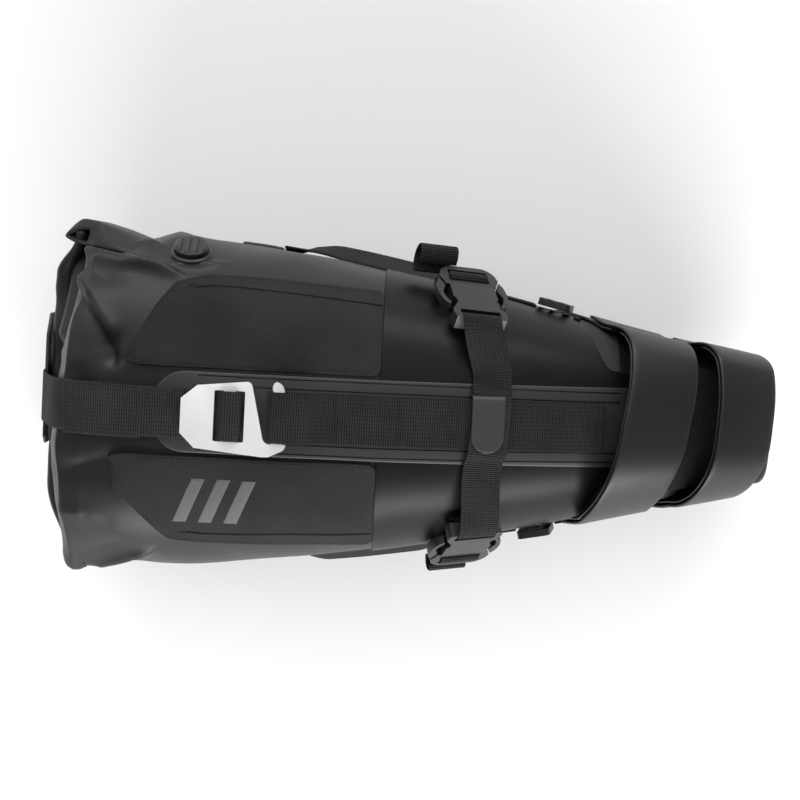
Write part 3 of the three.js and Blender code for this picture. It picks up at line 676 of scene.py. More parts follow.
def collar_rows(us, degrees):
    """The fabric closing the mouth, from the mouth (0) to the slot where the roll starts (1)."""
    mouth = skin(MOUTH_X, degrees)
    back = np.interp(mouth[:, 1], *np.array(OVERHANG).T)
    reach = mouth[:, 2] - ROLL["z"]
    upper = smooth(2, 30, reach)
    flare = smooth(-50, -83, mouth[:, 1]) * np.exp(-(((mouth[:, 2] - 98) / 30) ** 2))
    cheek = smooth(66, 80, mouth[:, 1]) * smooth(-24, 6, reach)
    gather = smooth(18, 34, mouth[:, 1]) * smooth(84, 72, mouth[:, 1])
    rows = []
    for u in us:
        turn = u * math.pi / 2
        plain_x = MOUTH_X - (MOUTH_X - COLLAR_END_X) * math.sin(turn)
        slot = 6 * np.sign(reach) * np.minimum(1, np.abs(reach) / 20)
        plain_z = ROLL["z"] + reach * math.cos(turn) + slot * (1 - math.cos(turn))
        full = np.interp(u, FALL_AT, (0, 0.72, 1, 1.0, 0.62, 0))
        over_x = MOUTH_X + (back - MOUTH_X) * full + (COLLAR_END_X - MOUTH_X) * (u**3) * (1 - full)
        over_z = ROLL["z"] + reach * np.interp(u, FALL_AT, (1, 0.94, 0.72, 0.4, 0.24, 0.13))
        bulge, valley = math.exp(-(((u - 0.79) / 0.09) ** 2)), math.exp(-(((u - 0.6) / 0.07) ** 2))
        over_x = over_x - gather * (9 * bulge - 2.5 * valley)
        pleat = math.sin(math.pi * u) * np.sin(mouth[:, 1] / 6.5 + 2.2 * np.sin(mouth[:, 1] / 23))
        fold = 1.3 * pleat * smooth(10, 60, np.abs(reach)) * (1 - 0.6 * upper)
        rows.append(np.stack([
            plain_x + (over_x - plain_x) * np.maximum(upper, cheek) - 0.6 * fold,
            mouth[:, 1] * (1 - 0.03 * u) - 3 * flare * smooth(0, 0.25, u) * (1 - smooth(0.3, 1, u)),
            plain_z + (over_z - plain_z) * upper + fold * np.sign(reach),
        ], -1))
    return np.array(rows)


def grid_normals(rows):
    """Outward normals of a grid of points that closes round its second axis."""
    around = np.roll(rows, -1, axis=1) - np.roll(rows, 1, axis=1)
    along = np.gradient(rows, axis=0)
    normals = unit(np.cross(around, along))
    outside = rows - rows.mean(axis=1, keepdims=True)
    return normals * np.sign((normals * outside).sum(-1).mean())


def build_body():
    degrees = np.linspace(0, 360, 360, endpoint=False)
    xs = np.concatenate([np.linspace(NOSE_X, -60, 110), np.linspace(-61.5, MOUTH_X, 80)])
    collar = np.linspace(0.03, 0.97, 30)
    rows = np.concatenate([skin(xs[:, None], degrees[None, :]), collar_rows(collar, degrees)])
    fading = smooth(1, 0.6, np.concatenate([np.zeros(len(xs)), collar]))
    rows = rows + grid_normals(rows) * (relief(rows) * fading[:, None] - 0.3)[..., None]
    count, columns = rows.shape[:2]
    verts = rows.reshape(-1, 3)
    faces = grid_faces(count, columns, closed=True)
    around = np.linalg.norm(np.diff(rows, axis=1, append=rows[:, :1]), axis=-1).cumsum(axis=1)
    along = np.linalg.norm(np.diff(rows, axis=0, prepend=rows[:1]), axis=-1).max(axis=1).cumsum()
    uvs = np.stack([np.broadcast_to(along[:, None], around.shape), around], -1).reshape(-1, 2)
    skin_piece = outward(new_object("bag_skin", verts, faces, uvs))
    thicken(skin_piece, 0.9)
    finish_piece(
        skin_piece, COATED, "coated",
        nodes=("top_panel", "left_side_panel", "right_side_panel", "belly_panel", "roll_collar"),
        blend=("bag", "roll", (-157, 0, 74), (-168, 0, 74)),
    )


def build_nose_end():
    """The front end: a welded cap with a rounded rim."""
    columns, dome, rim_share = 96, 4.6, 0.84
    rim = skin(NOSE_X, np.linspace(0, 360, columns, endpoint=False))
    middle = rim.mean(axis=0)
    rows = []
    for t in np.linspace(0, 1, 14):
        inset = 1 - 0.16 * (1 - math.cos(t * math.pi / 2)) if t < 1 else rim_share
        row = middle + (rim - middle) * inset
        row[:, 0] = NOSE_X + dome * math.sin(t * math.pi / 2)
        rows.append(row)
    for inset in (0.7, 0.45, 0.2, 0.02):
        row = middle + (rim - middle) * inset
        row[:, 0] = NOSE_X + dome - 0.5 * (rim_share - inset)
        rows.append(row)
    rows = np.array(rows)
    uvs = rows[..., 1:].reshape(-1, 2)
    faces = grid_faces(len(rows), columns, closed=True)
    cap = outward(new_object("nose_end", rows.reshape(-1, 3), faces, uvs))
    thicken(cap, 1.5)
    finish_piece(cap, LAMINATE, "coated", "bag", ("nose_panel",))


def build_roll():
    """The rolled mouth: a flattened spiral, soft and a little uneven along its length."""
    turns, inner = ROLL["turns"], 1.3
    steps = int(turns * 40)
    pitch = (ROLL["half_x"] - 1.6) / (turns + 0.35)
    ys = np.linspace(-80, 84, 120)
    t = np.linspace(0, turns, steps)
    flat = ROLL["half_z"] - ROLL["half_x"]
    shells = []
    for inset in (0.0, inner):
        r = ROLL["half_x"] - pitch * t - inset
        c, s = np.cos(t * 2 * math.pi), np.sin(t * 2 * math.pi)
        x = -r * c
        z = r * s + flat * np.sign(s) * np.minimum(1, np.abs(s) * 1.6)
        swell = 1 + 0.05 * np.sin(ys / 13)[:, None]
        swell = swell + 0.035 * np.sin(ys / 5.1 + 1)[:, None] * np.cos(3 * t)[None, :]
        thin = 1 - 0.34 * smooth(-45, -90, ys)[:, None] - 0.4 * smooth(62, 76, ys)[:, None]
        wave = 0.5 * np.sin(ys / 21 + 0.6) + 9 * smooth(-44, -82, ys) + 8 * smooth(62, 80, ys)
        pinch = 0.5 * np.sin(ys / 3.1) * smooth(40, 60, ys)
        shells.append(np.stack([
            ROLL["x"] + x[None, :] * swell * thin + (wave + pinch)[:, None],
            np.broadcast_to(ys[:, None], (len(ys), steps)),
            ROLL["z"] + z[None, :] * swell + 8 * smooth(58, 84, ys)[:, None],
        ], -1))
    rows, columns = len(ys), steps
    size = rows * columns
    verts = np.concatenate([s.reshape(-1, 3) for s in shells])
    faces = grid_faces(rows, columns) + [tuple(reversed(f)) for f in grid_faces(rows, columns, first=size)]
    for i in range(rows - 1):
        for j in (0, columns - 1):
            a, b = i * columns + j, (i + 1) * columns + j
            faces.append((a, b, b + size, a + size) if j == 0 else (a, a + size, b + size, b))
    for j in range(columns - 1):
        for i in (0, rows - 1):
            a, b = i * columns + j, i * columns + j + 1
            faces.append((a, a + size, b + size, b) if i == 0 else (a, b, b + size, a + size))
    arc = walk(shells[0][rows // 2])
    flat_uv = np.stack(np.broadcast_arrays(ys[:, None], arc), -1)
    uvs = np.concatenate([flat_uv.reshape(-1, 2)] * 2)
    finish_piece(outward(new_object("roll", verts, faces, uvs)), COATED, "coated", "roll", ("roll_top",))

    # A stiff patch on the roll's back, behind the strap.
    outline = [(-26, -10), (-22, -15), (30, -15), (41, -6), (41, 6), (30, 15), (-22, 15), (-26, 10)]
    patch = extruded("rear_patch", outline, 1.4)
    place(patch, vec(ROLL["x"] - ROLL["half_x"] - 1.4, 0, ROLL["z"]), vec(0, 1, 0), vec(0, 0, 1))
    finish_piece(patch, RUBBER, "rubber", "roll", ("rear_light_patch",))


def loop(points, count):
    """A closed loop of count points along a polygon whose corners are cut round."""
    ring = np.array(points, float)
    for share in (0.16, 0.25, 0.25):
        after = np.roll(ring, -1, axis=0)
        cut = [(1 - share) * ring + share * after, share * ring + (1 - share) * after]
        ring = np.stack(cut, 1).reshape(-1, 3)
    closed = np.concatenate([ring, ring[:1]])
    walked = walk(closed)
    return sample(closed, walked, np.linspace(0, walked[-1], count, endpoint=False))


def build_roll_mouth():
    """The pinched end of the rolled fabric at the left: it stands open, dark inside."""
    rings = (
        ((-150, 82, 88), (-147, 84, 90), (-146, 82, 94), (-148, 80, 92)),
        ((-166, 81.6, 88), (-161, 84.6, 90), (-157, 84, 93), (-160, 79, 94)),
        ((-176, 81.4, 93), (-171, 84.4, 96), (-161.6, 86, 100), (-163.6, 77.4, 101.4)),
        ((-177, 81.2, 92.6), (-171, 85.4, 96), (-160.6, 86.8, 100.4), (-163.4, 76.2, 102)),
        ((-176, 82, 90), (-168, 90.6, 94), (-156, 88.6, 101), (-158.5, 75.6, 108)),
        ((-166, 81, 76), (-158, 89.6, 80), (-149, 86.4, 102), (-151, 74.2, 115.6)),
        ((-154, 80, 72), (-146, 86.6, 78), (-138, 82.6, 104), (-141, 72.4, 120.6)),
        ((-140, 76, 78), (-132, 82, 82), (-126, 78.6, 104), (-129, 70.6, 119)),
    )
    count, columns = 34, 48
    rows = np.array([loop(ring, columns) for ring in rings])
    fine = np.linspace(0, len(rings) - 1, count)
    low = np.minimum(fine.astype(int), len(rings) - 2)
    share = (fine - low)[:, None, None]
    rows = rows[low] * (1 - share) + rows[low + 1] * share
    uvs = np.stack(np.broadcast_arrays(fine[:, None] * 9, np.arange(columns) * 1.0), -1).reshape(-1, 2)
    piece = new_object("roll_mouth", rows.reshape(-1, 3), grid_faces(count, columns, closed=True), uvs)
    thicken(piece, 0.6)
    finish_piece(piece, COATED, "coated", "roll")


def extruded(name, outline, thickness):
    """A flat plate from an outline, with rounded edges, centred on its own plane."""
    made = bmesh.new()
    ring = [made.verts.new((x * MM, y * MM, -thickness / 2 * MM)) for x, y in outline]
    face = made.faces.new(ring)
    pulled = bmesh.ops.extrude_face_region(made, geom=[face])
    lifted = [g for g in pulled["geom"] if isinstance(g, bmesh.types.BMVert)]
    bmesh.ops.translate(made, verts=lifted, vec=(0, 0, thickness * MM))
    bmesh.ops.recalc_face_normals(made, faces=made.faces)
    sharp = [e for e in made.edges if e.calc_face_angle(0) > 60 * RAD]
    bmesh.ops.bevel(made, geom=sharp, offset=0.35 * MM, segments=2, affect="EDGES", clamp_overlap=True)
    mesh = bpy.data.meshes.new(name)
    made.to_mesh(mesh)
    made.free()
    mesh.shade_smooth()
    mesh.set_sharp_from_angle(angle=FLAT_ANGLE)
    return add(name, mesh)


def place(obj, origin, x_axis, y_axis):
    """Move a mesh drawn in its own x, y, z into a frame with those axes."""
    z_axis = np.cross(x_axis, y_axis)
    basis = np.stack([x_axis, y_axis, z_axis], -1)
    for v in obj.data.vertices:
        v.co = Vector(basis @ np.array(v.co) + origin * MM)
    obj.data.update()
    return obj


# ------------------------------------------------------------------ welded front, patches, seams


def build_sleeve():
    """The smooth welded overlay on the front half, cut away in a curve beside the nose."""
    rear, front, wide_mm = SEAM_X, NOSE_X - 0.5, 100

    def reach(x):
        """How many degrees it goes down each side: nearly round the bag, but cut away by the nose."""
        open_part = smooth(70, 104, x)
        return 138 * (1 - open_part) + 30 * open_part

    def surface(u, v, offset):
        x = rear + u
        degrees = (v / wide_mm * 2 - 1) * reach(x)
        return body(x, degrees, offset)

    sheet("nose_sleeve", surface, (front - rear, wide_mm, 0.8), LAMINATE, "laminate",
          step=2.0, wide_step=0.9, radius=0.5, lift=0.1)


SIDES = (("left", 1), ("right", -1))
PATCH_INNER, PATCH_WIDE = 21.5, 45
# The outer edge of the left (1) and the right (-1) patch, as (x, distance from the centre line).
PATCH_EDGE = {
    1: ((-12, 62), (-60, 65.5), (-100, 66), (-115, 62), (-124, 50), (-131, 36), (-139, 20.5)),
    -1: ((-12, 64), (-60, 66), (-100, 66), (-113, 64.5), (-118.5, 60), (-140, 39), (-144, 20.5)),
}


def patch_outer(x, side):
    path = np.array(PATCH_EDGE[side])[::-1]
    return np.interp(x, path[:, 0], path[:, 1])


def build_patches():
    for name, side in SIDES:
        rear = PATCH_EDGE[side][-1][0]
        long_mm = -12 - rear

        def surface(u, v, offset):
            x = rear + u
            corner = 3.5 * (1 - rounding(long_mm - u, 5.0))
            inner = PATCH_INNER + corner + 5 * (1 - rounding(u, 12.0))
            outer = np.maximum(patch_outer(x, side) - corner, inner + 0.4)
            y = side * (inner + (outer - inner) * v / PATCH_WIDE)
            return body(x, angle_at(x, y), offset)

        sheet(name + "_abrasion_patch", surface, (long_mm, PATCH_WIDE, 1.1), CORDURA, "cordura",
              (name + "_patch",), step=1.6, wide_step=1.6, radius=0.8, lift=0.2)
        # Raised piping a few millimetres in from the outer edge, and stitches beside the seams.
        pipe = [(x, side * (patch_outer(x, side) - 7 - 0.02 * (x + 12))) for x in (-13, -40, -70, -96, -104)]
        points, normals = top_line(pipe, 1.3)
        tube(name + "_piping", points, 0.75, CORDURA, "cordura")
        outer_edge = [(x, side * (patch_outer(x, side) - 1.6)) for x in (-14, -60, -98, -113, -122, -129)]
        inner_edge = [(-16, side * 23.2), (-70, side * 23.2), (-128, side * 23.6)]
        for which, edge in (("patch", outer_edge), ("inner", inner_edge)):
            points, normals = top_line(edge, 1.35)
            stitches(f"{name}_{which}_stitches", points, normals, "bag", radius=0.16)
        bar_tack(name + "_patch_tack", -103, side * 60.5, 9, 2.4)


def build_mark():
    """A plain printed mark on the right patch: three slanted bars."""
    pieces = []
    for k, x0 in enumerate((-106, -93.5, -81)):

        def surface(u, v, offset):
            x = x0 + u + 0.42 * (v - 11)
            y = -54.5 + v
            return body(x, angle_at(x, y), offset)

        bar = slab(f"mark_bar_{k}", surface, 6.5, 22, 0.12, step=1.3, wide_step=1.4, radius=0.05, lift=1.32)
        pieces.append(bar)
    finish_piece(join("printed_mark", pieces), PRINT, "cordura", "bag")


def tube(name, points, radius, material, slot):
    """A round bead along a line on the bag."""
    curve = bpy.data.curves.new(name, "CURVE")
    curve.dimensions = "3D"
    curve.bevel_depth = radius * MM
    curve.bevel_resolution = 2
    curve.use_fill_caps = True
    spline = curve.splines.new("POLY")
    spline.points.add(len(points) - 1)
    for point, at in zip(spline.points, points):
        point.co = (*(at * MM), 1)
    made = add(name + "_curve", curve)
    bpy.context.view_layer.update()
    mesh = bpy.data.meshes.new_from_object(made.evaluated_get(bpy.context.evaluated_depsgraph_get()))
    bpy.data.objects.remove(made)
    mesh.shade_smooth()
    return finish_piece(add(name, mesh), material, slot, "bag")


def bar_tack(name, x, y, long_mm, wide_mm):
    """A dense bar of short stitches on the bag's top."""
    count = 9
    made = []
    for k in range(count):
        across = x + (k / (count - 1) - 0.5) * long_mm
        points, normals = top_line([(across, y - wide_mm / 2), (across, y + wide_mm / 2)], 1.5, 8)
        row = f"{name}_{k}"
        made.append(stitches(row, points, normals, "bag", pitch=wide_mm, length=wide_mm, radius=0.32))
    return join(name, made)


def build_centre_strip():
    """A smooth strip down the middle, with welded edges, under the daisy chain."""
    rear, front, wide_mm = -122, 112, 39

    def surface(u, v, offset):
        x = rear + u
        half = 19.5 * rounding(u, 16.0) ** 0.8 + 0.4
        y = (v / wide_mm * 2 - 1) * half
        return body(x, angle_at(x, y), offset)

    sheet("centre_strip_skin", surface, (front - rear, wide_mm, 0.9), STRIP_PAINTED_SHEEN, "laminate",
          ("centre_strip",), step=2.0, wide_step=2.0, radius=0.6, lift=0.3)
    for name, inset in (("outer", 18.2), ("inner", 13.6)):
        for side_name, side in SIDES:
            line = [(-100, side * inset), (0, side * inset), (108, side * (inset - 1))]
            points, _ = top_line(line, 1.15, 160)
            tube(f"{side_name}_{name}_weld", points, 0.35, LAMINATE, "laminate")


def build_nose_fabric():
    """Ribbed fabric shows beside the nose, where the welded overlay is cut away."""
    for name, side in SIDES:

        def surface(u, v, offset):
            return body(68 + u, side * (24 + v), offset)

        sheet(name + "_nose_fabric", surface, (40, 66, 0.5), RIBBED, "cordura", (name + "_nose_patch",),
              step=1.5, wide_step=1.5, lift=-0.2)


# ------------------------------------------------------------------ closure strap and hook

ACROSS = vec(0, 1, 0)
HOOK_T = 3.0
HOOK_Z = float(top(-85)) + 5.6
BACK_X = ROLL["x"] - ROLL["half_x"] - 3.2


def build_closure():
    over_the_edge = ("bag", "roll", (-150, 0, 74), (-163, 0, 74))
    behind = [
        (-139, 0, 1.2), (-150, 0, 3.6), (-160.5, 0, 5.6), (-169, 0, 10), (-177, 0, 22), (BACK_X + 0.6, 0, 50),
        (BACK_X, 0, 74), (BACK_X + 2.6, 0, 100), (-177.4, 0, 122), (-170.4, 0, 141), (-159, 0, 149.6),
        (-146, 0, 152.8),
    ]
    webbing("closure_strap", behind, ACROSS, (25, 1.4), OLIVE_WEBBING,
            nodes=("closure_strap_rear", "closure_strap_root"), blend=over_the_edge)
    folded = [
        (-165.8, -1, 147.4), (-158, -0.8, 151.4), (-148, -0.8, 154.2), (-137, -0.8, 155.8),
        (-127, -0.8, 156.6),
    ]
    webbing("closure_strap_fold", folded, vec(-0.05, 1, 0), (25.4, 1.2), OLIVE_WEBBING,
            blend=over_the_edge)
    z = HOOK_Z
    over = [
        (-146.4, 0, 152.9), (-132, 0, z - 1.9), (-118, 0, z - 1.2), (-98, 0, z - 1.3), (-92, 0, z - 1.4),
        (-89.4, 0, z + 0.9), (-87.2, 0, z + 3.9), (-84, 0, z + 4.6), (-80.8, 0, z + 4.1), (-78.6, 0, z + 1.5),
        (-79.6, 0, z - 1.6), (-86, 0, z - 3), (-110, 0, z - 3), (-136, 0, z - 4.1),
    ]
    over = [(x, y - 0.45, h) for x, y, h in over]
    webbing("closure_strap_over", over, ACROSS, (24.4, 1.2), OLIVE_WEBBING,
            nodes=("closure_strap_front",), blend=("bag", "hook", (-143, 0, 155), (-116, 0, 155)))
    hard_piece("hook_plate", "closure_hook", "hook", 0.7, ALUMINIUM, "aluminium")


# ------------------------------------------------------------------ daisy chain

TACKS = (-34, -3, 28, 66, 100)


def build_daisy_chain():
    def height(x):
        return float(top(x)) + 2.5

    finger = HOOK_Z + HOOK_T
    chain = [(101, 0, height(101))]
    for i in range(len(TACKS) - 2, -1, -1):
        middle = (TACKS[i] + TACKS[i + 1]) / 2
        chain += [(middle, 0, height(middle) + 0.7), (TACKS[i] + 1, 0, height(TACKS[i]))]
    z = HOOK_Z
    chain += [
        (-40, 0, height(-40) + 0.8), (-47, 0, finger + 0.2), (-53, 0, finger + 1.5),
        (-60, 0, finger + 1.6), (-63.4, 0, finger + 0.9), (-64.9, 0, z + 1.4), (-63.8, 0, z - 1),
        (-61, 0, z - 1.9), (-54, 0, z - 2.4), (-45, 0, z - 2.6),
    ]
    webbing("daisy_chain_web", chain, ACROSS, (25, 1.3), WEBBING, rides="bag", nodes=("daisy_chain",))
    made = []
    for k, x in enumerate(TACKS):
        for row in (-1.3, 0, 1.3):
            y = np.linspace(-11, 11, 30)
            xs = np.full(30, x + row + 0.5)
            points = np.stack([xs, y, top(xs) + 3.25], -1)
            normals = np.broadcast_to(vec(0, 0, 1), points.shape)
            tack = f"tack_{k}_{row}"
            made.append(stitches(tack, points, normals, "bag", pitch=1.25, length=1.5, radius=0.3))
    join("chain_bar_tacks", made)


# ------------------------------------------------------------------ air valve


def build_valve():
    hard_piece("valve_housing", "valve_body", "bag", 0.4)
    hard_piece("valve_knob", "valve_cap", "valve", 0.5)


# ------------------------------------------------------------------ buckles and their webs

BUCKLES = {
    "left": {"side": 1, "x": 34, "angle": 38.5, "tilt": 52, "lift": 8.2, "dip": 11, "web_from": 80},
    "right": {"side": -1, "x": 37, "angle": 42, "tilt": 57, "lift": 9, "dip": 8, "web_from": 82},
}
TAIL_SHIFT = {"left": 14, "right": 3.5}
TAIL = {
    "left": (
        (47, -6.4), (50.6, -4.4), (52.8, -0.4), (53, 3.6), (50.6, 8.2), (47.4, 8.4), (45.2, 5.4), (44.4, 1.5),
    ),
    "right": ((45.4, -5.2), (47.6, -3), (48.4, 0.2), (47.2, 3), (45, 2.8), (44.2, 0.6)),
}
BUCKLE_LEAN = 13 * RAD


def plain_skin(x, degrees, offset):
    return skin(x, degrees) + skin_normal(x, degrees) * offset


def buckle_frame(name):
    """Origin and axes of a buckle: along runs outward to the male half, normal off the bag."""
    b = BUCKLES[name]
    side = b["side"]
    origin = plain_skin(b["x"], side * b["angle"], b["lift"])
    normal = skin_normal(b["x"], side * b["tilt"])
    down = unit(np.cross(vec(-1, 0, 0), normal)) * side
    if down[2] > 0:
        down = -down
    along = down * math.cos(BUCKLE_LEAN) + vec(-1, 0, 0) * math.sin(BUCKLE_LEAN)
    along = unit(along - normal * along.dot(normal))
    return origin, along, np.cross(normal, along), normal


def build_buckles():
    for name, b in BUCKLES.items():
        origin, along, across, normal = buckle_frame(name)

        def local(points):
            return [tuple(origin + along * x + normal * z) for x, z in points]

        male = name + "_male"
        dip = b["dip"]
        hard_piece(name + "_buckle_socket", name + "_buckle_female", "bag", 0.6)
        hard_piece(name + "_buckle_plug", name + "_buckle_male", male, 0.5)
        for which, rides in (("front", "front"), ("rear", "back")):
            hard_piece(f"{name}_{which}_arm", f"{name}_arm_{which}", f"{name}_{rides}_arm", 0.7)

        # The adjusting web: sewn to the flank, up to the ladder, over its bar and back under.
        web = local([
            (49.4, -dip), (48.4, -5 - 0.4 * dip), (45.6, -8), (41.6, -4.8), (37.2, -3.9), (36.9, 0),
            (36.2, 3.6), (34.2, 4.1), (32, 3.6), (31.5, 0), (31, -3.9), (27, -5.2), (21, -5.4),
        ])
        end = origin + along * 49.5 - normal * dip
        lean = along[0] / math.hypot(along[1], along[2])
        flank = []
        for step in (17, 12, 7, 3):
            degrees = b["side"] * (b["web_from"] + step)
            p = plain_skin(end[0], degrees, 1.2)
            run = math.hypot(p[1] - end[1], p[2] - end[2])
            flank.append(tuple(plain_skin(end[0] + lean * run, degrees, 1.2)))
        start = plain_skin(end[0], b["side"] * b["web_from"], 1)
        webbing(name + "_adjusting_web", flank + web, across, (20, 1.1),
                nodes=(name + "_strap_loop", name + "_anchor_web"),
                blend=("bag", male, start, end + along * -4 + normal * 8))
        shift = across * b["side"] * TAIL_SHIFT[name]
        tail = [tuple(np.array(p) + shift) for p in local(TAIL[name])]
        webbing(name + "_looped_tail", tail, across, (20, 1.3), rides=male, nodes=(name + "_strap_tail",))


# ------------------------------------------------------------------ cross strap and keeper

CROSS_X = 42
TOP_SLOPE = (float(top(CROSS_X)) - float(top(CROSS_X - 10))) / 10
DOWN_TOP = unit(vec(1, 0, TOP_SLOPE))


def build_cross_strap():
    points, sides = [], []
    for name in ("left", "right"):
        origin, along, across, normal = buckle_frame(name)
        sign = BUCKLES[name]["side"]
        round_bar = [(4.6, -1.0), (4.4, 2.2), (1.4, 4.2), (-1.6, 3.6), (-6, 1.2)]
        bent = [tuple(origin + along * x + normal * z) for x, z in round_bar]
        bent_sides = [tuple(across * -sign)] * len(bent)
        if name == "left":
            points += bent
            sides += bent_sides
        else:
            closing, closing_sides = list(reversed(bent)), bent_sides
    for y, lift in ((24, 2.6), (17, 3.4), (14.4, 5.6), (0, 5.6), (-14.4, 5.6), (-17, 3.4), (-24, 2.6)):
        x = CROSS_X + (0.02 if y > 0 else 0.1) * y
        points.append(tuple(plain_skin(x, angle_at(x, y), lift)))
        sides.append(tuple(DOWN_TOP))
    points += closing
    sides += closing_sides
    webbing("cross_strap_web", points, sides, (20, 1.2), rides="bag", nodes=("cross_strap",))


def build_keeper():
    origin = vec(CROSS_X, 0, float(top(CROSS_X)) + 7.2)
    left = vec(0, 1, 0)
    up = np.cross(DOWN_TOP, left)

    def at(points):
        return [tuple(origin + left * y + up * z) for y, z in points]

    long_mm, wide_mm, samples = 28.4, 17, 120
    bend = at([(15.0, -2.6), (14.4, -0.9), (12.8, 0), (4, 0.3), (-6, 0.1), (-13.4, -0.1)])
    path, _ = curve_through(bend, samples)
    walked = np.linspace(0, long_mm, samples)

    def surface(u, v, offset):
        into_tip = np.clip(u - (long_mm - 8.2), 0, None) / 8.25
        half = 8.4 * np.sqrt(np.clip(1 - into_tip**2, 0.0004, 1))
        across = DOWN_TOP * ((v / wide_mm * 2 - 1) * half)[..., None]
        return sample(path, walked, u) + across + up * (offset - 0.55)[..., None]

    piece = slab("keeper_flap", surface, long_mm, wide_mm, 1.1, step=1.0, wide_step=1.5, radius=0.5)
    hinge = origin + left * 13.6
    finish_piece(piece, KEEPER, "rubber", nodes=("keeper_tab", "keeper_root"),
                 blend=("bag", "keeper", hinge + left * 2.5, hinge - left * 1.5))


# ------------------------------------------------------------------ side straps

WEB_REAR, WEB_WIDE, SIDE_SLACK = -66, 20, 0.3


def build_side_straps():
    root_wide = 26
    for name, side, lean, lock_x in (("left", 1, 5, 68), ("right", -1, 7, 64)):

        def flank(x, v, offset):
            """The side web's face at x, v up from its middle: its lower edge leans out between its ends."""
            sag = np.where(x < 22, SIDE_SLACK * np.sin(np.pi * (x - WEB_REAR) / 88) ** 2, 0)
            z = 52 + 0.16 * (x - WEB_REAR) + v
            low = (WEB_WIDE / 2 - v) / WEB_WIDE
            tip = low * (lean * smooth(-60, -34, x) * smooth(36, 12, x) - 4 * (1 - smooth(-66, -48, x)))
            tuck = 1.5 * (1 - low) * smooth(-50, -30, x) * smooth(36, 18, x)
            return np.stack([x, side * (half_width(x) + 0.6 + sag + tip - tuck + offset), z], -1)

        def strip(u, v, offset):
            return flank(WEB_REAR + u, v - WEB_WIDE / 2, offset)

        sheet(name + "_side_web", strip, (lock_x + 64, WEB_WIDE, 1.4), NARROW_WEBBING, "webbing",
              (name + "_side_strap",), step=2, wide_step=2.5)

        def root(u, v, offset):
            return body(-88 + u, side * (113 - 17 * v / root_wide), offset - 0.9)

        sheet(name + "_side_root", root, (21.4, root_wide, 1.9), RUBBER, "rubber",
              (name + "_side_anchor",), step=2, wide_step=2.5)

        def nose(u, v, offset):
            return flank(lock_x + 17.4 + u, v - WEB_WIDE / 2, offset - 0.6)

        sheet(name + "_nose_tab", nose, (3.6, WEB_WIDE, 1.2), NARROW_WEBBING, "webbing",
              (name + "_nose_web",), step=1.5, wide_step=2.5)
        hard_piece(name + "_ladder", name + "_ladder_lock", name + "_lock", 0.45)


# ------------------------------------------------------------------ seatpost bands

# x is where a band's middle crosses the top, slope its lean in degrees, lift how far it stands off the
# top, and sweep how far it is pulled back at SWEEP's angle, fading to the left and the right of it.
BANDS = (
    {"name": "rear", "x": 128, "slope": 26, "lift": 14, "width": 36, "sweep": 18},
    {"name": "front", "x": 166, "slope": 29, "lift": 18, "width": 33, "sweep": 8},
)
SWEEP = {"at": -42, "leftward": 58, "rightward": 32}
CORNER, FLAP_END = 59, -112


def band_surface(band):
    slope = band["slope"] * RAD
    crown = float(top(band["x"]))

    def at(u, degrees, offset):
        around = (degrees + 180) % 360 - 180
        reach = np.where(around > SWEEP["at"], SWEEP["leftward"], SWEEP["rightward"])
        swept = band["x"] - band["sweep"] * np.exp(-(((around - SWEEP["at"]) / reach) ** 2))
        x = np.full(np.broadcast(u, degrees).shape, float(band["x"]))
        for _ in range(4):
            fall = crown - skin(x, degrees)[..., 2] - u * math.sin(slope)
            x = swept + u * math.cos(slope) - math.tan(slope) * fall * 0.96
        left, right = 1 - smooth(34, 76, around), 1 - smooth(6, 78, -around)
        stand = np.where(around > 0, left, right)
        x = np.minimum(x, NOSE_X - 1)
        return skin(x, degrees) + skin_normal(x, degrees) * (offset + band["lift"] * stand)[..., None]

    return at


def build_bands():
    for band in BANDS:
        at = band_surface(band)
        half = band["width"] / 2
        name = band["name"]

        def layer(piece_name, start, end, thickness, lift, degrees_step=2.0):
            span = abs(end - start)
            sign = 1 if end > start else -1

            def surface(u, v, offset):
                return at(v - half, start + sign * u, offset)

            return slab(piece_name, surface, span, band["width"], thickness, step=degrees_step, wide_step=2.5,
                        radius=thickness * 0.5, lift=lift)

        base = layer(name + "_band_root", 62, 262, 1.7, 0.7)
        finish_piece(base, RUBBER, "rubber", "bag", (name + "_band_base",))
        inner = layer(name + "_band_lining", 52, -97, 1.3, 0.7)
        finish_piece(inner, RUBBER, "rubber", "bag", (name + "_band_inner",))
        flap = layer(name + "_band_cover", 84, FLAP_END, 1.8, 2.8, 1.5)
        fold, lower, upper = at(np.zeros(3), np.array([CORNER, 72.0, 50.0]), np.full(3, 4.0))
        towards = unit(upper - lower)
        finish_piece(flap, RUBBER, "rubber", nodes=(name + "_band_flap",),
                     blend=("bag", name + "_flap", fold - towards * 5, fold + towards * 3))


def build_nose_pad():
    rear, wide_mm = 112, 75

    def surface(u, v, offset):
        return plain_skin(rear + u, (v / wide_mm * 2 - 1) * 44, offset[..., None])

    sheet("nose_felt", surface, (NOSE_X - 1 - rear, wide_mm, 2.8), FELT, "felt", ("nose_pad",),
          step=2, wide_step=2.5, radius=2.2, lift=0.8)


def build_inner_parts():
    """The hidden stiffeners and nut keep their CAD shapes; the roll's strip ends where the roll thins."""

    def strip(u, v, offset):
        return np.stack([ROLL["x"] - 0.6 + offset, u - 58, ROLL["z"] - 7 + v], -1)

    core = slab("roll_core", strip, 116, 14, 1.2, step=4, wide_step=3)
    finish_piece(core, SHEET_PLASTIC, "stiffener", "roll", ("roll_stiffener",))
    for node in ("belly_stiffener", "left_nose_stiffener", "right_nose_stiffener", "top_nose_stiffener"):
        paint(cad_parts[node], SHEET_PLASTIC)
    paint(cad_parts["valve_nut"], PLASTIC)


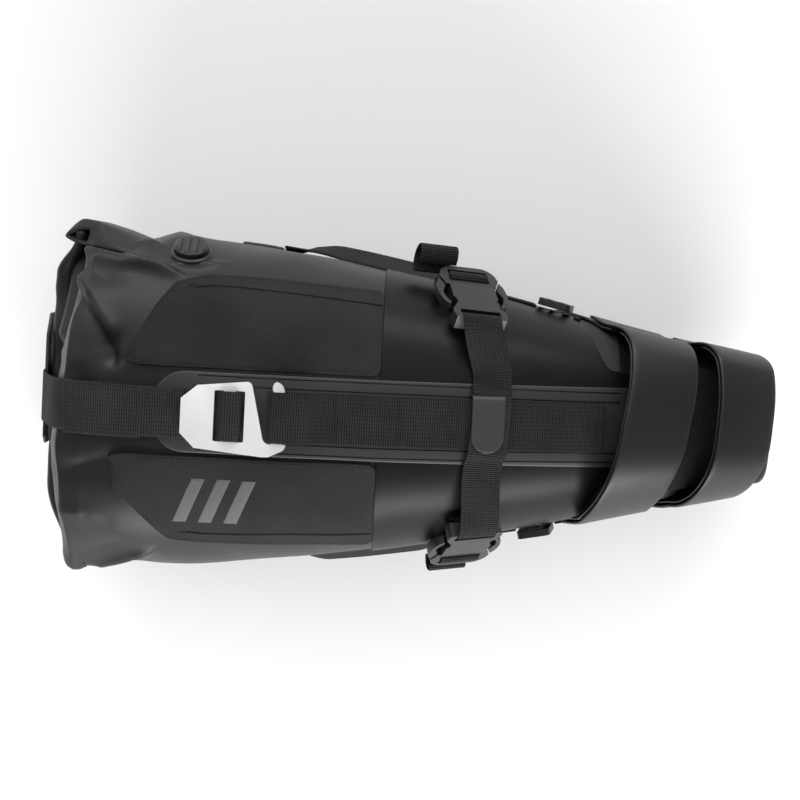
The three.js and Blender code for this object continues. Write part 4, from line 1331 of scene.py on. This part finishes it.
# ------------------------------------------------------------------ studio


def area_light(name, at, aim, size, power):
    """A soft rectangular light, in metres and watts."""
    light = bpy.data.lights.new(name, "AREA")
    light.shape = "RECTANGLE"
    light.size, light.size_y = size
    light.energy = power
    obj = add(name, light)
    obj.location = at
    obj.rotation_euler = (Vector(aim) - Vector(at)).to_track_quat("-Z", "Y").to_euler()


def build_studio():
    far = 4000
    corners = [(-far, -far, 0), (far, -far, 0), (far, far, 0), (-far, far, 0)]
    floor = new_object("floor", corners, [(0, 1, 2, 3)], shade=False)
    pale = Graph("pale_floor", (0.9, 0.9, 0.9), 0.9)
    pale.tint(pale.noise(pale.place(False), 3, 2), 0.99, 1.02)
    floor.data.materials.append(pale.material)

    world = bpy.data.worlds.new("studio")
    world.use_nodes = True
    background = world.node_tree.nodes["Background"]
    background.inputs["Color"].default_value = (1, 1, 1, 1)
    background.inputs["Strength"].default_value = 0.26
    scene.world = world
    area_light("strip_left", (0.0, 1.5, 0.75), (0, 0, 0.08), (2.2, 0.4), 22)
    area_light("strip_right", (0.3, -1.5, 0.72), (0.05, 0, 0.06), (2.2, 0.4), 50)
    area_light("rear_glow", (-1.3, 0.5, 0.7), (-0.1, 0, 0.1), (0.8, 0.6), 3)
    area_light("overhead", (0, 1.2, 2.0), (0, 0.6, 0), (3, 2), 18)
    scene.view_settings.view_transform = "Standard"

    camera = add("camera", bpy.data.cameras.new("camera"))
    back = Vector((0, math.sin(CAMERA["tilt"] * RAD), 1)).normalized()
    right = Vector((0, 1, 0)).cross(back).normalized()
    up = back.cross(right)
    roll = CAMERA["roll"] * RAD
    rightward = right * math.cos(roll) + up * math.sin(roll)
    upward = up * math.cos(roll) - right * math.sin(roll)
    turned = Matrix((rightward, upward, back)).transposed().to_4x4()
    stands_at = (Vector(CAMERA["aim"]) + back * CAMERA["distance"]) * MM
    camera.matrix_world = Matrix.Translation(stands_at) @ turned
    sensor = 36
    camera.data.sensor_width = sensor
    camera.data.lens = sensor * CAMERA["distance"] / CAMERA["frame"]
    camera.data.clip_end = 20
    scene.camera = camera


# The camera looks nearly straight down, leaning a little to the bag's left. frame is the width, in
# millimetres, that the picture shows at the aim point.
CAMERA = {"aim": (-1.7, 8.6, 120), "distance": 1150, "tilt": 4.6, "roll": 3.0, "frame": 400}

for build in (
    build_body, build_nose_end, build_roll, build_roll_mouth, build_sleeve, build_centre_strip,
    build_patches, build_mark, build_nose_fabric, build_closure, build_daisy_chain, build_valve,
    build_buckles, build_cross_strap, build_keeper, build_side_straps, build_bands, build_nose_pad,
    build_inner_parts, build_studio,
):
    build()
